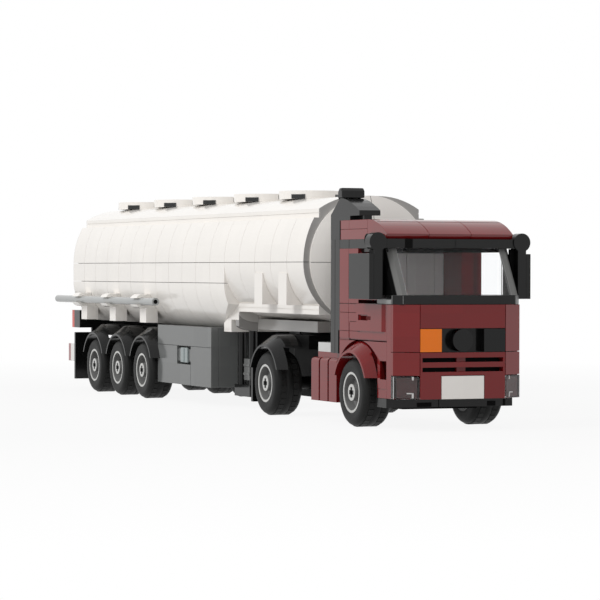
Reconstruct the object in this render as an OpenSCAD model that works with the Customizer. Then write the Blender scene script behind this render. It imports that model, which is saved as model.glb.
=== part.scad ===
// Toy brick tanker lorry: a two-axle tractor and a three-axle tank trailer,
// hinged at the kingpin. Millimetres, +X forward, +Y left, +Z up, wheels on z = 0.
// Places along the lorry are stations, measured back from the front panel.

/* [Grid] */
// Thickness of one plate or tile
plate_h = 3.2; // [2.9:0.1:3.6]
// Height of the lowest plate above the ground
grid_z = 7.6; // [6.8:0.1:8.4]
// Width of the gap between two bricks
seam_w = 0.2; // [0.1:0.05:0.4]
// Depth of a drawn brick joint
seam_d = 0.3; // [0.2:0.05:0.5]
// Gap between pieces that are pushed together
fit = 0.05; // [0.03:0.01:0.1]

/* [Wheels and axles] */
// Outer diameter of a tyre
tyre_d = 24; // [22:0.2:25]
// Width of a tyre
tyre_w = 11; // [10:0.2:12]
// Rounding radius of a tyre shoulder
tyre_round = 1.8; // [1.4:0.1:3]
// Diameter of a rim, where the tyre sits
rim_d = 14.6; // [13:0.2:16]
// Wall of the rim's outer ring
rim_wall = 1; // [0.8:0.1:1.4]
// Depth of the dish in the rim's outer face
rim_dish = 3.2; // [2.4:0.1:4.4]
// Distance of the rim's outer face inside the tyre's side
rim_in = 0.2; // [0.1:0.1:0.6]
// Diameter of the hub in the dish
hub_d = 5.8; // [5.2:0.1:7]
// Diameter of a round axle
axle_d = 4.8; // [4.4:0.1:5.2]
// Length of the arms of the cross at an axle's end
cross_l = 3.4; // [3:0.1:4]
// Width of the arms of the cross at an axle's end
cross_arm = 1.5; // [1.2:0.1:1.8]
// Radial clearance of an axle in its bearing
axle_fit = 0.05; // [0.03:0.01:0.08]
// Distance from the centre plane to a wheel's outer face
track_half = 27; // [26.6:0.2:28]
// Station of the front axle
front_axle_s = 33.2; // [32.8:0.1:33.6]
// Station of the drive axle
drive_axle_s = 113.2; // [112:0.1:114.4]
// Distance from the trailer's last axle to the tank's rear ring
trailer_axle_rear = 32.4; // [31:0.2:34]
// Distance between the trailer's axles
trailer_axle_pitch = 32; // [31.4:0.2:34]

/* [Cab body] */
// Width of the cab
cab_w = 48; // [46:0.5:50]
// Station of the cab's back
cab_rear_s = 50; // [48:0.5:52]
// Thickness of the cab's side walls
wall_t = 8; // [5:0.5:9]
// Width of the pillar behind the side window
pillar_w = 16; // [12:0.5:18]
// Station of the side window's front edge
window_front_s = 18; // [16:0.5:20]
// Height of the side window
window_h = 16; // [14:0.5:18]
// Height of the cab floor's underside
floor_z = 30.6; // [29.4:0.2:31.4]
// Thickness of the back wall
back_wall_t = 8; // [5:0.5:9]
// Width of the open joint between the cab's side and the back wall
back_gap_l = 1.2; // [0.8:0.1:1.6]
// Height of the open joint's upper end
back_gap_top = 33.2; // [32:0.2:34]
// Gap between tyre and wheel arch or mudguard
arch_gap = 1.8; // [1.4:0.1:2]
// Thickness of a wheel arch or mudguard at its top
arch_t = 4.3; // [4:0.1:4.6]
// Thickness of a wheel arch or mudguard at its ends
arch_end_t = 0.8; // [0.6:0.1:1.2]
// Half the length of a wheel arch or mudguard where it meets the body
arch_wide = 16.2; // [15.6:0.1:16.4]
// Width of an arch's outer lip from side to side
arch_lip_w = 0.5; // [0.3:0.1:0.8]
// Depth of an arch's legs from side to side
arch_leg_w = 4; // [3:0.1:5]
// Depth of the slope on an arch's top
arch_slope_w = 4.8; // [4.4:0.1:5.4]
// Height of the lower ends of arches and mudguards
arch_foot_z = 17.5; // [16:0.1:19]
// How far an arch stands out from its tyre
arch_proud = 0.7; // [0.4:0.1:1]
// Radius of the cab side's curved edge over the arch
wing_r = 24.4; // [22:0.2:26]
// Length of the post under the cab side, ahead of the wheel
post_l = 7.4; // [6.4:0.1:8]
// Length of the raised door panel
door_l = 21.6; // [18:0.2:23]
// Height of the raised door panel
door_h = 9.4; // [8:0.2:9.4]
// How far the door panel stands out
door_proud = 0.8; // [0.5:0.1:1.2]
// Length of the door handle slot
handle_l = 8; // [6:0.2:10]
// Height of the door handle slot
handle_h = 1.9; // [1.4:0.1:2.4]
// Length of the pocket ahead of the front wheel
pocket_l = 5.2; // [4:0.2:6]
// Height of the pocket ahead of the front wheel
pocket_h = 6.3; // [5:0.1:6.4]
// Height of the pocket's lower edge
pocket_z = 17.2; // [16.6:0.1:17.8]

/* [Cab front] */
// Width of the flat front panel
panel_w = 32; // [30:0.5:34]
// Height of one row of front tiles
row_h = 8; // [7.6:0.1:8.4]
// Width of the number plate
number_w = 16; // [14:0.5:18]
// How far the corner slopes run back
slope_run = 4.8; // [4:0.1:5.6]
// Lip at the outer edge of a corner slope
slope_lip = 1.6; // [1.2:0.1:2]
// Station of the front core's back
core_back_s = 10; // [9:0.2:11]
// Height of a grille slot
grille_slot_h = 1.5; // [1.2:0.1:1.8]
// Post at the ends of the grille slots
grille_post = 0.8; // [0.6:0.1:1.2]
// Half width of the recessed post amid the grille slots
grille_mid = 1.7; // [1.2:0.1:2.2]
// Thickness of the black board behind the grille
grille_board_t = 1.6; // [1.2:0.1:1.9]
// Diameter of the round nose disc
badge_d = 8; // [7:0.1:9]
// Depth of the bumper from front to back
bumper_l = 8; // [7:0.2:9]

/* [Windscreen] */
// Station of the windscreen's lower edge
screen_foot_s = 2.7; // [2:0.1:3.4]
// How far the windscreen leans back to its top edge
screen_rake = 9.2; // [8.4:0.1:10]
// Width of the windscreen's slanted corners
screen_corner_w = 2.5; // [2:0.1:3]
// How far the windscreen's corners run back
screen_corner = 2.8; // [2.2:0.1:3.4]
// Thickness of the clear panes
glass_t = 1.2; // [0.8:0.1:1.6]
// How far the side panes sit inside the cab side
glass_inset = 2; // [1.4:0.1:3]

/* [Roof] */
// Height of the roof
roof_h = 6.8; // [6.2:0.1:7.2]
// Radius of the curved roof front
roof_round = 14; // [13:0.1:15]
// Height of the lip under the curved roof front
roof_lip = 1.4; // [1:0.1:2]
// Width of one roof slope
roof_piece_w = 16; // [14:0.5:17]

/* [Air intake] */
// Width of the air intake
intake_w = 8; // [7:0.2:9]
// Height of the intake's rear edge above the header
intake_rear_h = 8.8; // [8:0.2:9.4]
// Height of the intake's top above the header
intake_h = 14.7; // [14:0.1:15.4]
// Length of the intake's hood over the roof
hood_l = 17; // [15:0.5:19]
// Length of the hood's seat on the roof
hood_seat = 9; // [7:0.5:10]
// Gap between the roof and the hood's front
hood_gap = 1.5; // [1.1:0.1:1.9]
// Depth of the hood's front lip
hood_lip = 1.8; // [1.5:0.1:2.1]
// Height of the cap on the intake
intake_cap_h = 3.6; // [3:0.1:4.2]
// Width of the cap on the intake
intake_cap_w = 8.8; // [8:0.1:9.4]
// Distance of the cap's front ahead of the intake's ridge
intake_cap_ahead = 3; // [2:0.1:4]
// Length of the cap behind the intake's ridge
intake_cap_l = 0.8; // [0.6:0.1:1.2]
// Rounding of the cap's edges
intake_cap_round = 1; // [0.6:0.1:1.4]

/* [Mirrors] */
// Gap between cab side and mirror arm
mirror_gap = 1.8; // [1.2:0.1:2.4]
// Station of the mirrors' front faces
mirror_s = 9.6; // [9:0.1:10]
// Depth of the mirror arm from front to back
mirror_arm_l = 4; // [3:0.1:5]
// Height of the mirror's lower end
mirror_z = 44.6; // [44:0.1:46]
// Length of the mirror head
mirror_head_l = 17.2; // [15:0.2:18]
// Height of the mirror head
mirror_head_h = 15.6; // [14:0.2:17]
// Thickness of the mirror head
mirror_head_t = 1.7; // [1.4:0.1:2]
// Diameter of the disc at the arm's top
mirror_disc_d = 6.4; // [5.6:0.1:7]

/* [Side tanks] */
// Gap between front tyre and side tank
side_tank_gap = 7.5; // [6.8:0.1:8]
// Pitch of the ribs on a side tank
side_tank_rib = 8; // [7.4:0.1:8.6]
// Number of ribs on a side tank
side_tank_ribs = 3; // [2:1:4]
// Height of the side tank's underside
side_tank_z = 7.5; // [6.8:0.1:8.4]
// Rounding of the ribs' upper edge
side_tank_round = 1.6; // [1:0.1:2.2]
// Width of the groove between two ribs
side_tank_groove = 1.2; // [0.8:0.1:1.6]
// How far the cover plate stands in from the ribs' outer faces
side_tank_shelf = 2.7; // [2.4:0.1:3.4]
// Height of the cover plate on the side tank
side_tank_cover = 1.9; // [1.6:0.1:2.2]
// Length of the step block on the side tank
step_l = 12.4; // [10:0.2:14]
// Height of the step block on the side tank
step_h = 3.4; // [2.8:0.1:3.8]
// Depth of the step block from side to side
step_w = 10; // [8:0.2:11]

/* [Tractor frame] */
// Width of the tractor's and trailer's frame beams
beam_w = 16; // [14:0.5:18]
// Height of the beams' underside
beam_z = 6.6; // [5.8:0.1:7.4]
// Height of the tractor frame's top
frame_z = 25; // [24.4:0.1:25.4]
// Length of the deck over the drive axle
deck_l = 32.8; // [31:0.2:34]
// Thickness of a mudflap
flap_t = 1.6; // [1.2:0.1:2]
// Height of a mudflap's lower edge
flap_z = 4.5; // [3.8:0.1:5.4]

/* [Fifth wheel] */
// Station of the kingpin
kingpin_s = 112; // [111:0.2:113]
// Diameter of the kingpin
kingpin_d = 4.8; // [4.4:0.1:5.4]
// Radial clearance of the kingpin
kingpin_fit = 0.05; // [0.03:0.01:0.08]
// Length of the kingpin
kingpin_l = 6; // [5:0.2:8]
// Diameter of the fifth wheel
fifth_d = 22; // [18:0.5:24]
// Thickness of the fifth wheel
fifth_h = 1; // [0.8:0.1:1.4]
// Gap between fifth wheel and trailer
fifth_gap = 0.1; // [0.05:0.05:0.2]

/* [Tank] */
// Station of the tank's front ring
tank_front_s = 78; // [77:0.5:79]
// Length of the tank between its end caps
tank_l = 272; // [268:1:275]
// Length of the tank's slim front section
tank_slim_l = 80; // [76:0.5:84]
// Width of the tank
tank_w = 52.4; // [51:0.2:54]
// Height of the tank's widest line
belt_line_z = 57.3; // [56.4:0.1:58.4]
// Radius of the upper shoulder
shoulder_r = 33.4; // [32:0.2:35]
// Height of the shoulder
shoulder_h = 16.3; // [15:0.1:17]
// Width of the roof strip
strip_w = 40; // [38:0.5:42]
// Height of the roof strip's straight edge
strip_edge = 3.3; // [2.8:0.1:3.8]
// Radius of the roof strip's curve
strip_r = 29; // [28:0.5:31]
// Width of the roof strip's flat top
strip_flat = 8; // [6:0.5:10]
// Radius of the slim front belly
slim_r = 22; // [21.6:0.1:22.6]
// Height of the upright side panels
panel_h = 8.1; // [7.4:0.1:8.8]
// Radius of the deep rear belly
deep_r = 20; // [19:0.2:21]
// Height of the rear belly's underside
deep_z = 31.6; // [31.2:0.1:32]
// Length of the slanted front of the rear belly
deep_slant_l = 20; // [18:0.5:22]
// Height of the slanted front's upper end
deep_slant_z = 41.1; // [40.4:0.1:42]
// Length of one tank brick
tank_brick_l = 16; // [12:0.5:20]
// Diameter of the end caps
cap_d = 47.6; // [46:0.2:49]
// Height of the end caps' centre
cap_z = 58; // [57.4:0.1:58.6]
// Straight edge of an end cap
cap_edge = 3.2; // [2.6:0.1:3.8]
// How far the end caps bulge
cap_bulge = 3.4; // [2:0.1:4.4]

/* [Hatches] */
// Diameter of a hatch
hatch_d = 24; // [22:0.2:25]
// Height of a hatch
hatch_h = 3.2; // [2.6:0.1:3.8]
// Number of hatches
hatches_n = 5; // [3:1:5]
// Distance of the first hatch behind the tank's front ring
hatch_front = 56; // [50:0.5:60]
// Distance of the last hatch ahead of the tank's rear ring
hatch_rear = 24; // [16:0.5:30]
// Width of a notch in a hatch's lower rim
notch_w = 4; // [3:0.1:5]
// Depth of a notch in a hatch's lower rim
notch_d = 1.6; // [1.2:0.1:2]

/* [Saddle] */
// Distance of the saddle's sides inside the tank's sides
saddle_inset = 6.2; // [5.2:0.1:7]
// Height of the running boards' top
board_z = 41.5; // [41:0.1:41.9]
// Thickness of the running boards
board_t = 3.3; // [2.8:0.1:3.8]
// Length of one step behind the boards
board_step_l = 8; // [7:0.2:9]
// Drop of the first step
board_step_1 = 3.3; // [2.8:0.1:3.8]
// Drop of the second step
board_step_2 = 4.9; // [4.4:0.1:5.2]
// Length of the kingpin plate
king_plate_l = 60; // [50:0.5:64]
// Width of the kingpin plate
king_plate_w = 24; // [20:0.5:26]
// Width of a strut beside the front section
strut_l = 8; // [7:0.2:9]
// Thickness of a strut
strut_t = 3.2; // [2.6:0.1:3.6]
// Distance of the first strut behind the ring
strut_s = 16; // [12:0.5:18]
// Distance of a strut's top below the tank's widest line
strut_drop = 4; // [3:0.2:6]
// Distance between the struts
strut_pitch = 24; // [20:0.5:28]

/* [Cabinets] */
// Gap between a cabinet and the first trailer tyre
cabinet_gap = 0.4; // [0.3:0.1:0.8]
// Distance from the centre plane to a cabinet's outside
cabinet_half = 24; // [23:0.2:25]
// Height of a cabinet's underside
cabinet_z = 7.5; // [6.8:0.1:8.4]
// Thickness of a cabinet's outer panels
cabinet_panel_t = 3.2; // [2.6:0.1:3.8]
// Height of a cabinet's top row
cabinet_row = 8; // [7.4:0.1:8.6]
// Length of the latch recess
latch_l = 15.8; // [14:0.2:17]
// Height of the latch recess
latch_h = 7.6; // [6.6:0.1:8]
// Height of the dark slots in the latch
latch_slot = 1.2; // [0.9:0.1:1.5]

/* [Landing legs] */
// Diameter of a landing leg
leg_d = 3.4; // [3:0.1:4]
// Distance of the first leg behind the tank's slim section
leg_first = 1.7; // [1.4:0.1:2.4]
// Distance between the two legs of a side
leg_pitch = 11.7; // [11:0.1:12.4]
// Height of a leg's foot above the ground
leg_z = 4.6; // [3.8:0.1:5.4]
// Distance between the legs of the two sides
leg_track = 26.6; // [25:0.2:30]
// Height of the foot that joins two legs
foot_h = 4.5; // [3:0.1:6]
// Width of foot and sleeve
foot_w = 5; // [4:0.1:6]
// Length of the ribbed sleeve on the first leg
sleeve_l = 5.6; // [4.6:0.1:6]
// Height of the sleeve's lower end
sleeve_z = 11.2; // [10.6:0.1:11.8]
// Height of the sleeve
sleeve_h = 8.3; // [7:0.1:9]

/* [Hoses] */
// Outer diameter of a hose tube
hose_d = 3.2; // [2.8:0.1:3.6]
// Bore of a hose tube
hose_bore = 1.8; // [1.4:0.1:2]
// Length of a hose tube
hose_l = 134; // [128:0.5:134.5]
// Distance of a hose tube outside the tank's side
hose_out = 3; // [2.6:0.1:3.6]
// Height of a hose tube
hose_z = 41.2; // [40.6:0.1:41.8]
// Width of a bracket
bracket_l = 8; // [7:0.2:9]
// Distance between brackets
bracket_pitch = 40; // [36:0.5:42]
// Distance of the last bracket ahead of the tank's rear ring
bracket_rear = 20; // [16:0.5:24]
// Thickness of a bracket's plate
bracket_t = 2.6; // [2.2:0.1:3]
// Height of a bracket's lower end
bracket_z = 32.2; // [31.6:0.1:33.4]
// Wall of a bracket's clip
clip_t = 1.4; // [1.1:0.1:1.7]
// Mouth of a bracket's clip
clip_mouth = 2.6; // [2.2:0.1:3]

/* [Rear end] */
// Half the width of the rear end
rear_half = 24; // [23:0.2:25]
// Distance from the tank's rear ring to the rearmost face
tail_l = 14; // [13:0.5:16]
// Height of the upper lamps' underside
lamp_z = 28; // [27.6:0.1:28.6]
// Thickness of a lamp
lamp_t = 3.2; // [2.8:0.1:3.6]
// Height of a lamp
lamp_h = 8; // [7:0.2:8.6]
// Width of an upper lamp
lamp_w = 8; // [7:0.2:9]
// Width of a lower lamp
low_lamp_w = 16; // [14:0.2:17]
// Height of a lower lamp's underside
low_lamp_z = 12.5; // [11.8:0.1:13.4]
// Length of the rear cross block
rear_block_l = 8; // [7:0.2:9]
// How far the rear cross block stands behind the tank's rear ring
rear_block_out = 5.6; // [5:0.2:6.4]
// Width of a rear flap
rear_flap_w = 16; // [14:0.5:16.5]
// Height of a rear flap's lower edge
rear_flap_z = 4.4; // [3.6:0.1:5.4]
// Gap between the upper lamps' blocks and the flaps' outer half
rear_flap_gap = 2.2; // [1.8:0.1:2.6]

/* [Hidden] */
$fn = 64;

over = 0.5;
tank_rear_s = tank_front_s + tank_l;
rear_end_s = tank_rear_s + tail_l;
rear_block_s = tank_rear_s + rear_block_out;
front_x = rear_end_s / 2;
wheel_r = tyre_d / 2;
arch_r = wheel_r + arch_gap;
arch_half = arch_r + arch_end_t;
arch_rise = arch_r + arch_t;
arch_y = track_half + arch_proud;
beam_half = beam_w / 2;
deck_top = wheel_r + arch_rise;
tyre_in = track_half - tyre_w;
cab_half = cab_w / 2;
panel_half = panel_w / 2;
screen_half = cab_half - screen_corner_w;
number_half = number_w / 2;
tile_w = panel_half - number_half;
row_z = [for (i = [0:4]) grid_z + plate_h + i * row_h];
belt_z = row_z[4];
sill_z = belt_z + plate_h;
window_top = sill_z + window_h;
roof_z = window_top + plate_h;
roof_top = roof_z + roof_h;
slope_base = slope_run + slope_lip;
window_rear_s = cab_rear_s - pillar_w;
back_wall_s = cab_rear_s + back_wall_t;
side_tank_s = front_axle_s + wheel_r + side_tank_gap;
side_tank_l = side_tank_ribs * side_tank_rib;
side_tank_end_s = side_tank_s + side_tank_l - side_tank_groove;
side_tank_top = frame_z - side_tank_cover;
deck_s = drive_axle_s - deck_l / 2;
tractor_rear_s = deck_s + deck_l;
fifth_top = deck_top + fifth_h;
king_plate_z = fifth_top + fifth_gap;
slim_z = belt_line_z - slim_r + fit;
tank_half = tank_w / 2;
hose_half = tank_half + hose_out;
saddle_half = tank_half - saddle_inset;
deep_s = tank_front_s + tank_slim_l;
panel_z = belt_line_z - panel_h;
strip_z = belt_line_z + shoulder_h;
strip_top = strip_z + strip_edge + strip_r - sqrt(pow(strip_r, 2) - pow(strip_w / 2 - strip_flat / 2, 2));
trailer_axles = [for (i = [2:-1:0]) tank_rear_s - trailer_axle_rear - i * trailer_axle_pitch];
step_1_z = board_z - board_t - board_step_1;
step_2_z = step_1_z - board_step_2;
cabinet_s = deep_s + deep_slant_l;
cabinet_end_s = trailer_axles[0] - wheel_r - cabinet_gap;
hatch_pitch = (tank_l - hatch_front - hatch_rear) / (hatches_n - 1);
// Heights of the two grille slots in their row
grille_shares = [0.25, 0.66];
// Part of the mirror disc above the header
mirror_disc_share = 1 / 6;
// Part of the door panel's thickness left behind its handle
handle_share = 1 / 3;
rim_half = track_half - rim_in;
disc_z = roof_z - mirror_disc_d * mirror_disc_share;
intake_mid = cab_half - intake_w / 2;
hood_top = roof_z + intake_h;

// Place a station in the frame
function fx(s) = front_x - s;
// Points of an arc about a centre, from one angle to another
function arc(c, r, a0, a1, n) = [for (i = [0:n]) let (a = a0 + (a1 - a0) * i / n) [c[0] + r * cos(a),
    c[1] + r * sin(a)]];

module box(s0, s1, y0, y1, z0, z1) { translate([fx(s1), y0, z0]) cube([s1 - s0, y1 - y0, z1 - z0]); }
// Extrude an outline in y and z between two stations
module along(s0, s1) { translate([fx(s1), 0, 0]) rotate([90, 0, 90]) linear_extrude(s1 - s0) children(); }
// Extrude an outline of stations and heights between two y values
module across(y0, y1, pts) {
  translate([0, y1, 0]) rotate([90, 0, 0])
    linear_extrude(y1 - y0) polygon([for (p = pts) [fx(p[0]), p[1]]]);
}
// Extrude an outline of stations and y values between two heights
module upright(z0, z1, pts) {
  translate([0, 0, z0]) linear_extrude(z1 - z0) polygon([for (p = pts) [fx(p[0]), p[1]]]);
}
module both() {
  children();
  mirror([0, 1, 0]) children();
}
// A round bar across the lorry
module bar(s, z, r, y0, y1) { translate([fx(s), y1, z]) rotate([90, 0, 0]) cylinder(r = r, h = y1 - y0); }

module tractor_chassis() {
  color([0.16, 0.16, 0.17]) difference() {
    union() {
      box(core_back_s, cab_rear_s, -tyre_in + arch_gap, tyre_in - arch_gap, row_z[0], floor_z);
      box(core_back_s + bumper_l, cab_rear_s, -tyre_in + arch_gap, tyre_in - arch_gap, beam_z,
          row_z[0] + over);
      box(cab_rear_s, tractor_rear_s, -beam_half, beam_half, beam_z, frame_z);
      box(deck_s, tractor_rear_s, -tyre_in, tyre_in, frame_z, deck_top);
    }
    for (s = [front_axle_s, drive_axle_s]) bar(s, wheel_r, axle_d / 2 + axle_fit, -track_half,
        track_half);
    translate([fx(kingpin_s), 0, fifth_top - kingpin_l]) cylinder(d = kingpin_d + 2 * kingpin_fit,
        h = kingpin_l + over);
  }
}

module front_bumper() {
  color([0.1, 0.1, 0.1]) box(core_back_s, core_back_s + bumper_l, -cab_half, cab_half, grid_z,
      grid_z + plate_h - fit);
}

module cab_core() {
  color([0.45, 0.08, 0.08]) difference() {
    upright(row_z[0], belt_z, [[core_back_s - fit, -cab_half], [slope_base, -cab_half],
        [slope_base, -panel_half], [plate_h, -panel_half],
      [plate_h, panel_half], [slope_base, panel_half], [slope_base, cab_half],
          [core_back_s - fit, cab_half]]);
    box(plate_h - over, plate_h + grille_board_t, -panel_half - over, panel_half + over, row_z[1],
        row_z[3]);
  }
}

module nose_board() {
  mid_z = (row_z[2] + row_z[3] - seam_w) / 2;
  color([0.07, 0.07, 0.07]) {
    box(plate_h, plate_h + grille_board_t, -panel_half, panel_half, row_z[1], row_z[3]);
    box(0, plate_h + fit, number_half, panel_half, row_z[2], row_z[3] - seam_w);
    translate([fx(plate_h + fit), 0, mid_z]) rotate([0, 90, 0]) cylinder(d = badge_d - seam_w * 2,
        h = plate_h + fit);
  }
}

module cab_front_panel() {
  slot_half = panel_half - grille_post;
  color([0.45, 0.08, 0.08]) {
    box(0, plate_h, -panel_half, panel_half, row_z[3], row_z[4]);
    difference() {
      union() {
        box(0, plate_h, -panel_half, panel_half, row_z[1], row_z[2] - seam_w);
        both() box(0, plate_h, number_half + seam_w, panel_half, row_z[0], row_z[1] + over);
      }
      for (k = grille_shares) {
        slot_z = row_z[1] + k * row_h;
        box(-over, plate_h / 2, -slot_half, slot_half, slot_z - grille_slot_h / 2,
            slot_z + grille_slot_h / 2);
        both() box(-over, plate_h + over, grille_mid, slot_half, slot_z - grille_slot_h / 2,
            slot_z + grille_slot_h / 2);
      }
    }
  }
}

module corner(z0, z1) {
  upright(z0, z1, [[slope_base, panel_half + seam_w], [0, panel_half + seam_w], [slope_run, cab_half],
      [slope_base, cab_half]]);
}
module corner_slopes() {
  color([0.45, 0.08, 0.08]) both() {
    corner(row_z[1], row_z[2] - seam_w);
    corner(row_z[2], row_z[4]);
  }
}
module headlamps() { color([0.85, 0.88, 0.9, 0.6]) both() corner(row_z[0], row_z[1] - seam_w); }
module hazard_plate() {
  color([0.85, 0.45, 0.15]) box(0, plate_h, -panel_half, -number_half, row_z[2], row_z[3] - seam_w);
}
module number_plate() {
  color([0.93, 0.92, 0.9]) box(0, plate_h, -number_half, number_half, row_z[0], row_z[1] - seam_w);
}

module cab_floor() {
  color([0.3, 0.31, 0.31]) box(core_back_s, cab_rear_s, -cab_half + wall_t, cab_half - wall_t, floor_z,
      floor_z + plate_h);
}

module cab_sides() {
  hole_s = core_back_s + seam_w;
  post_s = core_back_s + post_l;
  color([0.45, 0.08, 0.08]) both() difference() {
    union() {
      box(core_back_s, cab_rear_s, cab_half - wall_t, cab_half, row_z[0], belt_z);
      box(window_rear_s, cab_rear_s, cab_half - wall_t, cab_half, belt_z - over, window_top);
      box(window_front_s, cab_rear_s, cab_half - wall_t, cab_half, belt_z - over, sill_z);
    }
    intersection() {
      bar(front_axle_s, deck_top + fit - wing_r, wing_r, cab_half - wall_t - over, cab_half + over);
      box(post_s, cab_rear_s + over, cab_half - wall_t - over, cab_half + over, 0, floor_z);
    }
    box(hole_s, hole_s + pocket_l, cab_half - wall_t / 2, cab_half + over, pocket_z, pocket_z + pocket_h);
    box(core_back_s - over, post_s + over, cab_half - seam_d, cab_half + over,
        row_z[0] + plate_h - seam_w, row_z[0] + plate_h);
    box((window_rear_s + cab_rear_s) / 2, (window_rear_s + cab_rear_s) / 2 + seam_w, cab_half - seam_d,
        cab_half + over, floor_z, window_top + over);
    box(core_back_s - over, cab_rear_s + over, cab_half - seam_d, cab_half + over, floor_z - seam_w,
        floor_z);
    box(window_front_s - over, cab_rear_s + over, cab_half - seam_d, cab_half + over, belt_z - seam_w,
        belt_z);
  }
}

module door_panels() {
  door_s = window_rear_s - door_l;
  mid_z = belt_z - door_h / 2;
  color([0.45, 0.08, 0.08]) both() difference() {
    box(door_s, window_rear_s, cab_half, cab_half + door_proud, belt_z - door_h, belt_z);
    box(window_rear_s - handle_h - handle_l, window_rear_s - handle_h,
        cab_half + door_proud * handle_share, cab_half + door_proud + over, mid_z - handle_h / 2,
        mid_z + handle_h / 2);
  }
}

module windscreen_sill() {
  color([0.08, 0.08, 0.08]) upright(belt_z, sill_z,
      [[window_front_s - fit, -cab_half], [screen_foot_s + screen_corner, -cab_half],
      [screen_foot_s, -screen_half],
    [screen_foot_s, screen_half], [screen_foot_s + screen_corner, cab_half],
        [window_front_s - fit, cab_half]]);
}

// Clear shell of the windscreen and its side panes, grown inward by t
module screen_block(t, o) {
  hull() for (k = [0, 1]) translate([0, 0, k == 0 ? sill_z - o : window_top + o - fit])
    linear_extrude(fit) polygon([for (p = [[window_front_s + o, -cab_half + t],
        [screen_foot_s + screen_corner + k * screen_rake + t, -cab_half + t],
      [screen_foot_s + k * screen_rake + t, -screen_half + t],
          [screen_foot_s + k * screen_rake + t, screen_half - t],
      [screen_foot_s + screen_corner + k * screen_rake + t, cab_half - t],
          [window_front_s + o, cab_half - t]]) [fx(p[0]), p[1]]]);
}
module windscreen() {
  color([0.85, 0.9, 0.92, 0.4]) difference() {
    screen_block(0, 0);
    screen_block(glass_t, over);
  }
}
module side_windows() {
  color([0.85, 0.9, 0.92, 0.4]) both() box(window_front_s, window_rear_s,
      cab_half - glass_inset - glass_t, cab_half - glass_inset, sill_z, window_top);
}

module window_header() {
  color([0.08, 0.08, 0.08]) box(core_back_s, cab_rear_s, -cab_half, cab_half, window_top, roof_z);
}

// Outline of the roof, grown by g
function roof_points(g) = let (curve_h = roof_h - roof_lip) concat(
  [[cab_rear_s + g, roof_z - g], [cab_rear_s + g, roof_top + g]],
  [for (i = [0:16]) let (a = i * 90 / 16)
    [core_back_s + roof_round - (roof_round + g) * sin(a), roof_z + roof_lip + (curve_h + g) * cos(a)]],
  [[core_back_s - g, roof_z - g]]);
module cab_roof() {
  side_s = core_back_s + roof_round + seam_w;
  side_z = roof_z + roof_h / 2;
  color([0.45, 0.08, 0.08]) difference() {
    across(-cab_half, cab_half, roof_points(0));
    both() {
      difference() {
        across(roof_piece_w / 2, roof_piece_w / 2 + seam_w, roof_points(over));
        across(0, cab_half, roof_points(-seam_d));
      }
      box(side_s, cab_rear_s + over, cab_half - seam_d, cab_half + over, side_z, side_z + seam_w);
    }
  }
}

module cab_back_wall() {
  color([0.08, 0.08, 0.08]) difference() {
    box(cab_rear_s, back_wall_s, -cab_half, cab_half, frame_z, roof_z);
    both() box((cab_rear_s + back_wall_s) / 2, (cab_rear_s + back_wall_s) / 2 + seam_w, cab_half - seam_d,
        cab_half + over, frame_z - over, roof_z + over);
    both() box(cab_rear_s - over, cab_rear_s + back_gap_l, cab_half - wall_t, cab_half + over,
        frame_z - over, back_gap_top);
  }
}

module air_intake() {
  hood_s = cab_rear_s - hood_l;
  seat_s = cab_rear_s - hood_seat;
  under_z = roof_top + hood_gap;
  lip_z = under_z + hood_lip;
  color([0.06, 0.06, 0.06]) {
    across(-cab_half, -cab_half + intake_w, concat(
      [[back_wall_s, roof_z], [back_wall_s, roof_z + intake_rear_h], [cab_rear_s, hood_top]],
      [for (i = [1:8]) let (c = cos(i * 90 / 8)) [hood_s + hood_l * c,
          lip_z + (hood_top - lip_z) * cos(90 - 90 * c)]],
      [[hood_s, under_z], [seat_s, under_z], [seat_s, roof_top], [cab_rear_s + fit, roof_top],
          [cab_rear_s + fit, roof_z]]));
    box(hood_s + hood_gap, seat_s + over, -intake_mid - hood_gap, -intake_mid + hood_gap, roof_top,
        under_z + over);
  }
}

module intake_cap() {
  y0 = -intake_mid - intake_cap_w / 2;
  front_s = cab_rear_s - intake_cap_ahead;
  end_s = cab_rear_s + intake_cap_l;
  top_z = hood_top + intake_cap_h;
  fall = (intake_h - intake_rear_h) * intake_cap_l / back_wall_t;
  color([0.06, 0.06, 0.06]) across(y0, y0 + intake_cap_w, [
    [cab_rear_s, hood_top + fit], [front_s, hood_top + fit],
    [front_s, top_z - intake_cap_round], [front_s + intake_cap_round, top_z],
    [end_s - intake_cap_round, top_z], [end_s, top_z - intake_cap_round],
    [end_s, hood_top - fall + fit]]);
}

module mirror_arms() {
  y0 = cab_half + mirror_gap;
  end_s = mirror_s + mirror_arm_l;
  color([0.08, 0.08, 0.08]) both() {
    box(mirror_s, end_s, y0, y0 + plate_h - fit, mirror_z, disc_z);
    translate([fx(end_s), y0 + plate_h / 2, disc_z]) rotate([0, 90, 0]) cylinder(d = mirror_disc_d,
        h = mirror_arm_l);
    box(core_back_s + fit, end_s, cab_half, y0 + over, window_top, roof_z);
  }
}
module mirror_heads() {
  y0 = cab_half + mirror_gap + plate_h;
  color([0.08, 0.08, 0.08]) both() box(mirror_s, mirror_s + mirror_head_l, y0, y0 + mirror_head_t,
      mirror_z, mirror_z + mirror_head_h);
}

// Half ellipse over a wheel, cut off level at the arch's feet
function arch_outline(s, half, rise) = let (foot_a = asin((arch_foot_z - wheel_r) / rise))
  [for (i = [0:24]) let (a = foot_a + (180 - 2 * foot_a) * i / 24)
    [s + half * cos(a), wheel_r + rise * sin(a)]];

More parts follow.
